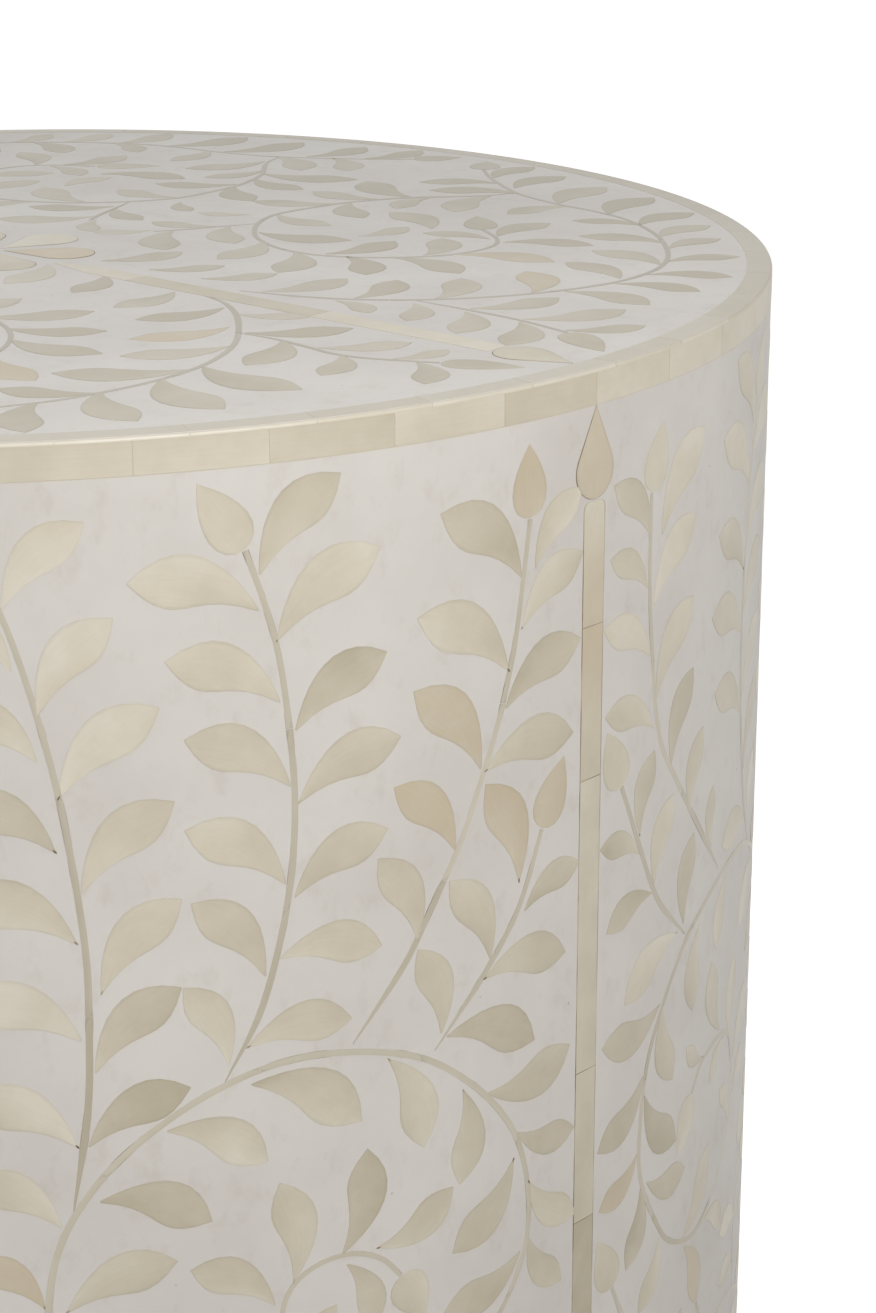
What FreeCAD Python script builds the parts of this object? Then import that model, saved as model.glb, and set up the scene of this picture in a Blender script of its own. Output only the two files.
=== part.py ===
import FreeCAD
import Part

import math
import os

import Sketcher

# A round side table of the drum kind: a plywood drum on battens and a hoop, covered with bone
# pieces that are set flush in a poured resin ground. +Z is up, and the origin is the centre of
# the circle on which the glides stand. Lengths are in millimetres and angles in degrees.

SIZES = [
    ("table_diameter", 450, "outside of the bone and the resin"),
    ("table_height", 500, "floor to table top"),
    ("ground_depth", 3, "thickness of resin and inlaid bone"),
    ("glue_line", 0.2, "gap between bone and its bed"),
    ("joint_gap", 0.3, "gap between two bone pieces end to end"),
    ("fit_gap", 0.2, "clearance of wood in wood"),
    ("wall_thickness", 4, "bent plywood of the drum wall"),
    ("panel_thickness", 18, "top and base boards"),
    ("batten_count", 8, "uprights inside the drum"),
    ("batten_width", 40, "upright, along the wall"),
    ("batten_depth", 20, "upright, towards the centre"),
    ("housing_depth", 6, "how deep an upright sits in a board"),
    ("hoop_width", 45, "ring former, radial"),
    ("hoop_thickness", 15, "ring former, vertical"),
    ("rim_thickness", 1.1, "bone at the edge of the top"),
    ("rim_bevel", 0.8, "filed outer top edge"),
    ("rim_pieces", 46, "bone pieces round the rim"),
    ("band_height", 8, "bone bands at the edge and the foot"),
    ("band_pieces", 44, "bone pieces in each band"),
    ("rod_count", 4, "upright bone rods on the wall"),
    ("rod_width", 8, "upright rod"),
    ("rod_piece_first", 32.4, "length of the top piece of a rod"),
    ("rod_piece_second", 41, "second piece"),
    ("rod_piece_third", 82, "third piece"),
    ("rod_piece_fourth", 44, "fourth piece"),
    ("rod_tail_pieces", 3, "even pieces below the fourth"),
    ("finial_width", 14.4, "teardrop at the end of a rod or bar"),
    ("finial_length", 23.4, "teardrop at the end of a rod or bar"),
    ("finial_gap", 0.6, "between a finial and what lies at its two ends"),
    ("bar_count", 2, "radial bars on the top"),
    ("bar_width", 8, "radial bar"),
    ("bar_piece_inner", 33, "length of the inner piece of a bar"),
    ("bar_piece_middle", 70, "middle piece, and the outer one fills the rest"),
    ("petal_count", 6, "petals of the rosette"),
    ("petal_space", 5.8, "resin between two petals"),
    ("petal_tip", 4, "centre to the point of a petal"),
    ("petal_reach", 30.7, "centre to the round end of a petal"),
    ("glide_count", 4, "pads under the base board"),
    ("glide_diameter", 24, "pad"),
    ("glide_height", 5, "pad, and the gap under the table"),
    ("glide_inset", 42, "outside of the table to the middle of a pad"),
]

ROD_PIECES = ["first", "second", "third", "fourth"]
WALL_HALF_COUNT = 2
PANEL_END_COUNT = 2
HALF_TURN = 180
FULL_TURN = 360

# Radii of the layers of the drum, from the outside in
OUTER = "(Size.table_diameter / 2)"
BED = f"({OUTER} - Size.ground_depth)"
WALL_OUT = f"({BED} - Size.glue_line)"
WALL_IN = f"({WALL_OUT} - Size.wall_thickness)"
CORE = f"({WALL_IN} - Size.fit_gap)"
BATTEN_IN = f"({CORE} - Size.batten_depth)"
HOOP_IN = f"({CORE} - Size.hoop_width)"

# Heights of the layers, from the floor up
FOOT = "Size.glide_height"
BASE_TOP = f"({FOOT} + Size.panel_thickness)"
FOOT_BAND_TOP = f"({FOOT} + Size.band_height)"
RIM_LOW = "(Size.table_height - Size.rim_thickness)"
BAND_LOW = f"({RIM_LOW} - Size.band_height)"
TOP_BED = "(Size.table_height - Size.ground_depth)"
TOP_UNDER = f"({TOP_BED} - Size.panel_thickness)"

# Teardrops over the rods and at the ends of the bars
FINIAL_ROUND = "(Size.finial_width / 2)"
ROD_FINIAL_TIP = f"({BAND_LOW} - Size.finial_gap)"
ROD_FINIAL_MID = f"({ROD_FINIAL_TIP} - Size.finial_length + {FINIAL_ROUND})"
ROD_HEAD = f"({ROD_FINIAL_TIP} - Size.finial_length - Size.finial_gap)"
TOP_EDGE = f"({WALL_IN} - Size.glue_line)"
BAR_FINIAL_TIP = f"({TOP_EDGE} - Size.finial_gap)"
BAR_FINIAL_MID = f"({BAR_FINIAL_TIP} - Size.finial_length + {FINIAL_ROUND})"
BAR_END = f"({BAR_FINIAL_TIP} - Size.finial_length - Size.finial_gap)"

# Rosette: each petal fills its sector up to half the space to the next one, and a bar starts
# where its corners come as close to the two petals beside it
PETAL_SINE = f"sin({HALF_TURN} / Size.petal_count)"
PETAL_COSINE = f"cos({HALF_TURN} / Size.petal_count)"
PETAL_ROUND = f"((Size.petal_reach * {PETAL_SINE} - Size.petal_space / 2) / (1 + {PETAL_SINE}))"
PETAL_MID = f"(Size.petal_reach - {PETAL_ROUND})"
CORNER_ASIDE = f"({PETAL_MID} * {PETAL_SINE} - Size.bar_width / 2)"
CORNER_AWAY = f"({PETAL_ROUND} + Size.petal_space / 2)"
BAR_START = f"({PETAL_MID} * {PETAL_COSINE} + sqrt({CORNER_AWAY}^2 - {CORNER_ASIDE}^2))"

document = FreeCAD.newDocument("SideTable")
sheet = document.addObject("Spreadsheet::Sheet", "Size")
for row, (alias, number, note) in enumerate(SIZES, start=1):
    sheet.set(f"A{row}", note)
    sheet.set(f"B{row}", str(number))
    sheet.setAlias(f"B{row}", alias)
document.recompute()


def value(expression):
    """Number that an expression on the sheet gives now."""
    result = sheet.evalExpression(expression.replace("Size.", ""))
    return float(getattr(result, "Value", result))


def count(alias):
    """Whole number kept in the sheet."""
    return int(round(value(alias)))


def new_body(label):
    """Empty body that may hold several like solids."""
    body = document.addObject("PartDesign::Body", label)
    body.Label = label
    body.AllowCompound = True
    return body


def origin_part(body, role):
    """Origin plane or axis of a body, by its role."""
    return next(part for part in body.Origin.OriginFeatures if part.Role == role)


def new_sketch(body, name, role, lift="0", shift="0"):
    """Sketch on an origin plane, lifted off it and shifted along its first axis."""
    sketch = body.newObject("Sketcher::SketchObject", name)
    sketch.AttachmentSupport = [(origin_part(body, role), "")]
    sketch.MapMode = "FlatFace"
    sketch.setExpression(".AttachmentOffset.Base.z", lift)
    sketch.setExpression(".AttachmentOffset.Base.x", shift)
    return sketch


def bind(sketch, kind, *where, to):
    """Dimension in a sketch that follows an expression on the sheet."""
    index = sketch.addConstraint(Sketcher.Constraint(kind, *where, value(to)))
    sketch.setExpression(f"Constraints[{index}]", to)


def pin(sketch, element, point, across, up):
    """Hold one point of a sketch at two expressions from the sketch's origin."""
    bind(sketch, "DistanceX", -1, 1, element, point, to=across)
    bind(sketch, "DistanceY", -1, 1, element, point, to=up)


def spot(across, up):
    """Vector in the sketch plane for two expressions."""
    return FreeCAD.Vector(value(across), value(up), 0)


def polygon(sketch, corners):
    """Closed outline of straight sides through corners given as expressions."""
    places = [spot(*corner) for corner in corners]
    last = len(places) - 1
    sides = []
    for index, start in enumerate(places):
        end = places[0 if index == last else index + 1]
        sides.append(sketch.addGeometry(Part.LineSegment(start, end)))
    for index, side in enumerate(sides):
        following = sides[0 if index == last else index + 1]
        sketch.addConstraint(Sketcher.Constraint("Coincident", side, 2, following, 1))
    for side, corner in zip(sides, corners):
        pin(sketch, side, 1, *corner)


def rectangle(sketch, left, right, low, high):
    """Upright rectangle between four expressions."""
    polygon(sketch, [(left, low), (right, low), (right, high), (left, high)])


def circle(sketch, radius):
    """Circle about the sketch's origin."""
    ring = Part.Circle(FreeCAD.Vector(), FreeCAD.Vector(0, 0, 1), value(radius))
    element = sketch.addGeometry(ring)
    bind(sketch, "Radius", element, to=radius)
    pin(sketch, element, 3, "0", "0")


def arc_about(middle, radius, start, end):
    """Arc of a circle between two angles."""
    ring = Part.Circle(middle, FreeCAD.Vector(0, 0, 1), radius)
    return Part.ArcOfCircle(ring, math.radians(start), math.radians(end))


def teardrop(sketch, round_end, middle, tip, upright=False, spare="0"):
    """Round end about a middle and two straight sides that touch it and meet in a tip.

    With a spare, the outline stands that far outside all along, as the bed of such a piece does.
    """
    def place(along):
        return ("0", along) if upright else (along, "0")

    radius = f"({round_end} + {spare})"
    point = f"({middle} + ({tip} - {middle}) * {radius} / {round_end})"
    reach = value(point) - value(middle)
    heading = (90 if upright else 0) + (0 if reach > 0 else HALF_TURN)
    opening = math.degrees(math.acos(value(radius) / abs(reach)))
    bend = arc_about(spot(*place(middle)), value(radius), heading + opening, heading - opening + FULL_TURN)
    curve = sketch.addGeometry(bend)
    peak = spot(*place(point))
    rising = sketch.addGeometry(Part.LineSegment(bend.EndPoint, peak))
    falling = sketch.addGeometry(Part.LineSegment(peak, bend.StartPoint))
    sketch.addConstraint(Sketcher.Constraint("Tangent", curve, 2, rising, 1))
    sketch.addConstraint(Sketcher.Constraint("Coincident", rising, 2, falling, 1))
    sketch.addConstraint(Sketcher.Constraint("Tangent", falling, 2, curve, 1))
    bind(sketch, "Radius", curve, to=radius)
    pin(sketch, curve, 3, *place(middle))
    pin(sketch, rising, 2, *place(point))


def pad(body, sketch, length):
    """Solid raised from a sketch along its normal."""
    feature = body.newObject("PartDesign::Pad", sketch.Name + "Pad")
    feature.Profile = sketch
    feature.setExpression("Length", length)
    body.Tip = feature
    return feature


def pocket(body, sketch, depth, forward=False):
    """Cut from a sketch, against its normal or along it, that has to remove something."""
    document.recompute()
    before = body.Shape.Volume
    feature = body.newObject("PartDesign::Pocket", sketch.Name + "Pocket")
    feature.Profile = sketch
    feature.setExpression("Length", depth)
    feature.Reversed = forward
    body.Tip = feature
    document.recompute()
    if not body.Shape.Volume < before:
        raise ValueError(f"{sketch.Name} cuts nothing")
    return feature


def revolve(body, sketch, turn, both_ways=False):
    """Solid turned from a profile about the upright axis of its sketch."""
    feature = body.newObject("PartDesign::Revolution", sketch.Name + "Turn")
    feature.Profile = sketch
    feature.ReferenceAxis = (sketch, ["V_Axis"])
    feature.setExpression("Angle", turn)
    feature.Midplane = both_ways
    body.Tip = feature
    return feature


def polar(body, features, copies, turn=str(FULL_TURN)):
    """Copies of features about the table's axis."""
    pattern = body.newObject("PartDesign::PolarPattern", features[0].Name + "Round")
    pattern.Originals = features
    pattern.Axis = (origin_part(body, "Z_Axis"), [""])
    pattern.setExpression("Angle", turn)
    pattern.setExpression("Occurrences", copies)
    body.Tip = pattern
    return pattern


def turn_to(body, degrees):
    """Set a body round the table's axis."""
    axis = FreeCAD.Vector(0, 0, 1)
    body.Placement = FreeCAD.Placement(FreeCAD.Vector(), FreeCAD.Rotation(axis, degrees))


def spacing(alias):
    """Angle between like pieces round the table."""
    return FULL_TURN / count(alias)


def rod_angle():
    """Direction of the first rod: half a panel away from the middle of the front."""
    return spacing("rod_count") / 2


def bar_angle():
    """Direction of the first bar: over the rod at the front right."""
    return -rod_angle()


def board(label, low):
    """Round board with its underside at the given height."""
    body = new_body(label)
    outline = new_sketch(body, label + "Disc", "XY_Plane", lift=low)
    circle(outline, CORE)
    pad(body, outline, "Size.panel_thickness")
    return body


def batten_notches(body, name, level, depth, forward):
    """Notches in the edge of a board or hoop that take the battens."""
    sketch = new_sketch(body, name, "XY_Plane", lift=level)
    half = "(Size.batten_width / 2 + Size.fit_gap)"
    rectangle(sketch, f"({BATTEN_IN} - Size.fit_gap)", OUTER, f"-{half}", half)
    notch = pocket(body, sketch, depth, forward)
    polar(body, [notch], "Size.batten_count")


def top_panel():
    """Board under the table top, with housings for the battens in its underside."""
    body = board("top_panel", TOP_UNDER)
    batten_notches(body, "TopHousing", TOP_UNDER, "Size.housing_depth", True)


def base_panel():
    """Board that closes the foot, with housings for the battens in its upper face."""
    body = board("base_panel", FOOT)
    batten_notches(body, "BaseHousing", BASE_TOP, "Size.housing_depth", False)


def middle_hoop():
    """Ring former half-way between the boards, notched for the battens."""
    body = new_body("middle_hoop")
    low = f"(({BASE_TOP} + {TOP_UNDER} - Size.hoop_thickness) / 2)"
    ring = new_sketch(body, "HoopRing", "XY_Plane", lift=low)
    circle(ring, CORE)
    circle(ring, HOOP_IN)
    pad(body, ring, "Size.hoop_thickness")
    batten_notches(body, "HoopNotch", low, "Size.hoop_thickness", True)


def batten(label, angle):
    """Upright with its outer face planed to the round of the wall."""
    body = new_body(label)
    low = f"({BASE_TOP} - Size.housing_depth)"
    length = f"({TOP_UNDER} + Size.housing_depth - {low})"
    plan = new_sketch(body, label + "Plan", "XY_Plane", lift=low)
    half = "(Size.batten_width / 2)"
    reach = math.degrees(math.asin(value(half) / value(CORE)))
    face = arc_about(FreeCAD.Vector(), value(CORE), -reach, reach)
    inner = [spot(BATTEN_IN, half), spot(BATTEN_IN, f"-{half}")]
    curve = plan.addGeometry(face)
    runs = [(face.EndPoint, inner[0]), (inner[0], inner[1]), (inner[1], face.StartPoint)]
    upper, back, lower = [plan.addGeometry(Part.LineSegment(*run)) for run in runs]
    for first, second in ((curve, upper), (upper, back), (back, lower), (lower, curve)):
        plan.addConstraint(Sketcher.Constraint("Coincident", first, 2, second, 1))
    bind(plan, "Radius", curve, to=CORE)
    pin(plan, curve, 3, "0", "0")
    pin(plan, back, 1, BATTEN_IN, half)
    pin(plan, back, 2, BATTEN_IN, f"-{half}")
    bind(plan, "DistanceY", -1, 1, curve, 2, to=half)
    bind(plan, "DistanceY", -1, 1, curve, 1, to=f"-{half}")
    pad(body, plan, length)
    turn_to(body, angle)


def wall_half(label, angle):
    """Half of the bent plywood wall, ending on the middle of two battens."""
    body = new_body(label)
    section = new_sketch(body, label + "Section", "XZ_Plane")
    rectangle(section, WALL_IN, WALL_OUT, FOOT, RIM_LOW)
    edge = f"(Size.joint_gap / {WALL_OUT} * {HALF_TURN} / pi)"
    revolve(body, section, f"({HALF_TURN} - {edge})", both_ways=True)
    turn_to(body, angle)


def ring_of_pieces(label, pieces, draw, first_angle):
    """Ring of like bone pieces with a joint gap between neighbours, as a group of solids."""
    body = new_body(label)
    section = new_sketch(body, label + "Section", "XZ_Plane")
    draw(section)
    gap = f"(Size.joint_gap / {OUTER} * {HALF_TURN} / pi)"
    piece = revolve(body, section, f"({FULL_TURN} / {pieces} - {gap})", both_ways=True)
    polar(body, [piece], pieces)
    turn_to(body, first_angle)


def rim_section(section):
    """Strip on the end of the wall and the edge band, with a filed outer top edge."""
    top = "Size.table_height"
    corners = [(WALL_IN, RIM_LOW), (OUTER, RIM_LOW), (OUTER, f"({top} - Size.rim_bevel)")]
    corners += [(f"({OUTER} - Size.rim_bevel)", top), (WALL_IN, top)]
    polygon(section, corners)


def edge_band_section(section):
    """Strip on the wall just below the rim."""
    rectangle(section, BED, OUTER, BAND_LOW, RIM_LOW)


def foot_band_section(section):
    """Strip on the wall at the foot."""
    rectangle(section, BED, OUTER, FOOT, FOOT_BAND_TOP)


def side_ground(label, angle):
    """Resin panel on the wall between two rods, cut round half of each rod and finial."""
    body = new_body(label)
    section = new_sketch(body, label + "Section", "XZ_Plane")
    rectangle(section, BED, OUTER, FOOT_BAND_TOP, BAND_LOW)
    revolve(body, section, f"({FULL_TURN} / Size.rod_count)")
    half = "(Size.rod_width / 2 + Size.glue_line)"
    through = "Size.table_diameter"
    slot = new_sketch(body, label + "Slot", "YZ_Plane")
    rectangle(slot, f"-{half}", half, FOOT_BAND_TOP, f"({ROD_HEAD} + Size.glue_line)")
    rod_bed = pocket(body, slot, through, True)
    drop = new_sketch(body, label + "Drop", "YZ_Plane")
    teardrop(drop, FINIAL_ROUND, ROD_FINIAL_MID, ROD_FINIAL_TIP, True, "Size.glue_line")
    finial_bed = pocket(body, drop, through, True)
    polar(body, [rod_bed, finial_bed], str(PANEL_END_COUNT), f"({FULL_TURN} / Size.rod_count)")
    turn_to(body, angle)


def rod_joints():
    """Heights of the joints of a rod: pieces of their own lengths from the head, then even ones."""
    heights = []
    level = ROD_HEAD
    for place in ROD_PIECES:
        level = f"({level} - Size.rod_piece_{place})"
        heights.append(level)
    total = count("rod_tail_pieces")
    for step in range(1, total):
        heights.append(f"({level} - ({level} - {FOOT_BAND_TOP}) * {step} / {total})")
    return heights


def rod(label, angle):
    """Upright bone rod in butted pieces, its face on the round of the wall."""
    body = new_body(label)
    section = new_sketch(body, label + "Section", "XZ_Plane")
    rectangle(section, BED, OUTER, FOOT_BAND_TOP, ROD_HEAD)
    revolve(body, section, f"(Size.rod_width / {OUTER} * {HALF_TURN} / pi)", both_ways=True)
    for index, level in enumerate(rod_joints()):
        cut = new_sketch(body, f"{label}Joint{index}", "YZ_Plane")
        low, high = f"({level} - Size.joint_gap / 2)", f"({level} + Size.joint_gap / 2)"
        rectangle(cut, "-Size.rod_width", "Size.rod_width", low, high)
        pocket(body, cut, "Size.table_diameter", True)
    turn_to(body, angle)


def rod_finials():
    """Teardrops above the rods, cut from strips that follow the round of the wall."""
    body = new_body("rod_finials")
    blank = new_sketch(body, "FinialBlank", "XZ_Plane")
    rectangle(blank, BED, OUTER, ROD_HEAD, BAND_LOW)
    width = f"(2 * Size.finial_width / {OUTER} * {HALF_TURN} / pi)"
    strip = revolve(body, blank, width, both_ways=True)
    frame = new_sketch(body, "FinialFrame", "YZ_Plane")
    margin = "(2 * Size.finial_width)"
    low, high = f"({ROD_HEAD} - Size.finial_width)", f"({BAND_LOW} + Size.finial_width)"
    rectangle(frame, f"-{margin}", margin, low, high)
    teardrop(frame, FINIAL_ROUND, ROD_FINIAL_MID, ROD_FINIAL_TIP, True)
    waste = pocket(body, frame, "Size.table_diameter", True)
    polar(body, [strip, waste], "Size.rod_count")
    turn_to(body, rod_angle())


def top_ground():
    """Resin layer of the table top, open where the bars, their finials and the rosette lie."""
    body = new_body("top_ground")
    disc = new_sketch(body, "TopGroundDisc", "XY_Plane", lift=TOP_BED)
    circle(disc, TOP_EDGE)
    pad(body, disc, "Size.ground_depth")
    half = "(Size.bar_width / 2 + Size.glue_line)"
    slot = new_sketch(body, "BarSlot", "XY_Plane", lift="Size.table_height")
    rectangle(slot, f"({BAR_START} - Size.glue_line)", f"({BAR_END} + Size.glue_line)", f"-{half}", half)
    bar_bed = pocket(body, slot, "Size.ground_depth")
    drop = new_sketch(body, "BarDrop", "XY_Plane", lift="Size.table_height")
    teardrop(drop, FINIAL_ROUND, BAR_FINIAL_MID, BAR_FINIAL_TIP, spare="Size.glue_line")
    finial_bed = pocket(body, drop, "Size.ground_depth")
    polar(body, [bar_bed, finial_bed], "Size.bar_count")
    hole = new_sketch(body, "PetalHole", "XY_Plane", lift="Size.table_height")
    petal_outline(hole, "Size.glue_line")
    petal_bed = pocket(body, hole, "Size.ground_depth")
    polar(body, [petal_bed], "Size.petal_count")
    turn_to(body, bar_angle())


def flat_piece(label, draw, angle, copies="1"):
    """Bone in the table top, raised from its bed to the surface, alone or as a ring of copies."""
    body = new_body(label)
    outline = new_sketch(body, label + "Outline", "XY_Plane", lift=TOP_BED)
    draw(outline)
    piece = pad(body, outline, "Size.ground_depth")
    if count(copies) > 1:
        polar(body, [piece], copies)
    turn_to(body, angle)
    return body


def bar(label, angle):
    """Radial bar of the table top in butted pieces."""
    def outline(sketch):
        rectangle(sketch, BAR_START, BAR_END, "-Size.bar_width / 2", "Size.bar_width / 2")

    body = flat_piece(label, outline, angle)
    first = f"({BAR_START} + Size.bar_piece_inner)"
    for index, middle in enumerate([first, f"({first} + Size.bar_piece_middle)"]):
        cut = new_sketch(body, f"{label}Joint{index}", "XY_Plane", lift="Size.table_height")
        near, far = f"({middle} - Size.joint_gap / 2)", f"({middle} + Size.joint_gap / 2)"
        rectangle(cut, near, far, "-Size.bar_width", "Size.bar_width")
        pocket(body, cut, "Size.ground_depth")


def bar_finial_outline(sketch):
    """Teardrop between the end of a bar and the rim."""
    teardrop(sketch, FINIAL_ROUND, BAR_FINIAL_MID, BAR_FINIAL_TIP)


def petal_outline(sketch, spare="0"):
    """Teardrop with its point at the centre, half a step round, so that a bar lies between two."""
    teardrop(sketch, PETAL_ROUND, PETAL_MID, "Size.petal_tip", spare=spare)
    half_step = FreeCAD.Rotation(FreeCAD.Vector(0, 0, 1), spacing("petal_count") / 2)
    sketch.AttachmentOffset = FreeCAD.Placement(sketch.AttachmentOffset.Base, half_step)


def glides():
    """Round pads under the base board, each between two battens."""
    body = new_body("glides")
    section = new_sketch(body, "GlideSection", "XZ_Plane", shift=f"({OUTER} - Size.glide_inset)")
    rectangle(section, "0", "Size.glide_diameter / 2", "0", FOOT)
    foot = revolve(body, section, str(FULL_TURN))
    polar(body, [foot], "Size.glide_count")
    turn_to(body, spacing("batten_count") / 2)


def numbered(name, make, total, first_angle):
    """Like pieces round the table, each a node of its own."""
    for index in range(total):
        make(f"{name}_{index + 1}", first_angle + index * FULL_TURN / total)


def build():
    """Make every piece of the table."""
    top_panel()
    base_panel()
    middle_hoop()
    numbered("batten", batten, count("batten_count"), 0)
    numbered("wall_half", wall_half, WALL_HALF_COUNT, 0)
    ring_of_pieces("rim_pieces", "Size.rim_pieces", rim_section, 0)
    ring_of_pieces("edge_band", "Size.band_pieces", edge_band_section, 0)
    ring_of_pieces("foot_band", "Size.band_pieces", foot_band_section, 0)
    numbered("side_ground", side_ground, count("rod_count"), rod_angle())
    numbered("rod", rod, count("rod_count"), rod_angle())
    rod_finials()
    top_ground()
    numbered("top_bar", bar, count("bar_count"), bar_angle())
    flat_piece("bar_finials", bar_finial_outline, bar_angle(), "Size.bar_count")
    flat_piece("rosette_petals", petal_outline, bar_angle(), "Size.petal_count")
    glides()
    document.recompute()


def check():
    """Stop if any object failed or any piece is not a sound solid."""
    for item in document.Objects:
        if "Invalid" in item.State or "Error" in item.State:
            raise ValueError(f"{item.Label} failed: {item.State}")
    for body in document.findObjects("PartDesign::Body"):
        shape = body.Shape
        if shape.isNull() or not shape.isValid() or not shape.Solids:
            raise ValueError(f"{body.Label} has no sound shape")


def write():
    """Write each piece to a file of its own name."""
    os.makedirs("parts", exist_ok=True)
    for body in document.findObjects("PartDesign::Body"):
        body.Shape.exportStep(os.path.join("parts", body.Label + ".step"))


build()
check()
write()
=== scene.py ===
"""Looks of a round side table: bone strips, leaves and stems set flush in a pale resin ground."""

import math

import bpy
import numpy as np
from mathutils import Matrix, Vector


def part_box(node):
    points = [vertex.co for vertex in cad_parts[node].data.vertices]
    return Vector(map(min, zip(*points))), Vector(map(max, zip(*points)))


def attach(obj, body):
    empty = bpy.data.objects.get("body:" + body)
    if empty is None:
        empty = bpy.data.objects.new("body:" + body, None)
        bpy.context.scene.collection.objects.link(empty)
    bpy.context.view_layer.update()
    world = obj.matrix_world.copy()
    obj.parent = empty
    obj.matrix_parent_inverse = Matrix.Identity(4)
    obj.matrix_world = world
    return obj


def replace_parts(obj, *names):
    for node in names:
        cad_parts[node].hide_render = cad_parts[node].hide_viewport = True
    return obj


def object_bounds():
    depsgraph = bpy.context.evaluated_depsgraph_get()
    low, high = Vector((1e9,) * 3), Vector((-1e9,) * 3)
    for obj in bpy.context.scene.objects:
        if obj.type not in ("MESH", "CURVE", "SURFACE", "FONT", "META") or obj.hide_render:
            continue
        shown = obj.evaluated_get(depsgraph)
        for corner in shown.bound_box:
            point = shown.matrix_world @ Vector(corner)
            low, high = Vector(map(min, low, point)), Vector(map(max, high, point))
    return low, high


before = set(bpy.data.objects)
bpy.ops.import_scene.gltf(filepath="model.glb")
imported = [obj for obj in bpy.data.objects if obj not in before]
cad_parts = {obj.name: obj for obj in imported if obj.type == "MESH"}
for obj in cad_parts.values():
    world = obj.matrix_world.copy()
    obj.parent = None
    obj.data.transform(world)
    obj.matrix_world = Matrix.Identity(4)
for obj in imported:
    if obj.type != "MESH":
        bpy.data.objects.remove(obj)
CAD_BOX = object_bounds()

bl_info = {
    "name": "Bone inlay side table",
    "version": (1, 0, 0),
    "blender": (4, 5, 0),
    "location": "View3D > Sidebar > Side Table",
    "description": "Dresses the drum of a side table in resin, bone strips and a bone vine",
    "category": "Object",
}

MM = 0.001
PANELS = 4
FULL_TURN = 2 * math.pi
QUARTER = FULL_TURN / 4
EDGE = 0.4 * MM
RADIUS = min(CAD_BOX[1].x, CAD_BOX[1].y)
HEIGHT = CAD_BOX[1].z
BAND_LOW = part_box("edge_band")[0].z
RIM_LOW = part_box("rim_pieces")[0].z
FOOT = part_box("foot_band")[0].z
FOOT_BAND_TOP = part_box("foot_band")[1].z
ROD_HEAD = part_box("rod_1")[1].z
RIM_STRIPS = 46
BAND_STRIPS = 44
# A ring of filler is laid in arcs, each with so many stations, and a whole ring has so many steps
ARCS, ARC_ROWS, RING_STEPS = 8, 60, 480
# Tones are given from 0, palest, to 8, darkest, and this one is tan
TAN = 9
# Tone at the foot and at the head of each piece of a rod, then its share of tan there, from the foot up
ROD_TONES = ((4, 3, 0, 0), (5, 4, 0, 0), (6, 7.6, 0, 0), (5, 3, 0, 0), (3, 3, 0, 0), (3, 4.5, 0, 0.9),
             (4, 2, 0.7, 0))
BAR_TONES = (3, 6, 2)
PETAL_TONES = (4, 2, 3, 4, 3, 5)
# Stems: steps along the curve, length of the tapered root, and steps in a strip
STEM_STEP, STEM_TAPER, STRIP_STEPS = 2.4 * MM, 22 * MM, 20
# How far specks of glue, the vine, its seams, the filler of the bands and that of the rim lie below the rods
BEAD_DIP = 0.002 * MM
VINE_DIP = 0.01 * MM
SEAM_DIP = 0.06 * MM
FILLER_DIP = 0.05 * MM
RIM_DIP = 0.06 * MM
SEAM_WIDTH = 0.13 * MM
BEADED_SHARE = 0.3
# Width of stems and buds on the table top as a share of that on the wall
TOP_SHARE = 0.9

# The paper pattern of half a wall panel, in thousandths of the drum's radius: across from the middle
# of the panel, and down from the table top. Stems are given from the root to the end, some with a tone
# for each end and the share of their width at the root, then come the tip of the bud and its tone, and
# each leaf from its root to its tip with its tone. Right and left are so as the stem grows.
OUTER_SPRAY = {
    "stem": ((444, 706), (474, 670), (514, 620), (549, 560), (584, 500), (614, 430), (637, 370),
             (659, 290), (671, 220), (681, 150)),
    "bud": (679, 66, 9),
    "right": ((690, 206, 763, 130, 2), (671, 270, 766, 203, 2), (647, 358, 764, 303, 5),
              (619, 424, 754, 412, 4)),
    "left": ((669, 212, 557, 122, 5), (651, 315, 527, 232, 3), (612, 420, 522, 313, 9),
             (577, 507, 497, 417, 9), (527, 602, 477, 495, 4)),
}
BUD_SPRAY = {
    "stem": ((549, 741), (585, 702), (619, 665), (669, 600), (704, 515)),
    "bud": (739, 437, 9),
    "right": ((678, 606, 768, 572, 5), (619, 672, 746, 677, 4), (566, 728, 696, 771, 6)),
    "left": ((669, 567, 619, 440, 9), (627, 650, 569, 542, 4), (558, 722, 527, 613, 4)),
}
TALL_SPRAY = {
    "tones": (6.5, 4),
    "stem": ((294, 722), (334, 650), (359, 570), (374, 490), (379, 410), (374, 330), (364, 250),
             (349, 190), (329, 130)),
    "bud": (279, 55, 3),
    "right": ((344, 157, 436, 60, 4), (362, 230, 482, 145, 2), (381, 332, 489, 262, 5),
              (384, 413, 506, 360, 4), (377, 520, 489, 462, 4), (359, 588, 481, 597, 3),
              (321, 685, 443, 675, 3)),
    "left": ((342, 195, 204, 153, 2), (364, 298, 241, 240, 3), (374, 393, 259, 327, 4),
             (367, 503, 257, 427, 3), (342, 605, 262, 510, 5), (299, 702, 251, 605, 2)),
}
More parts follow.
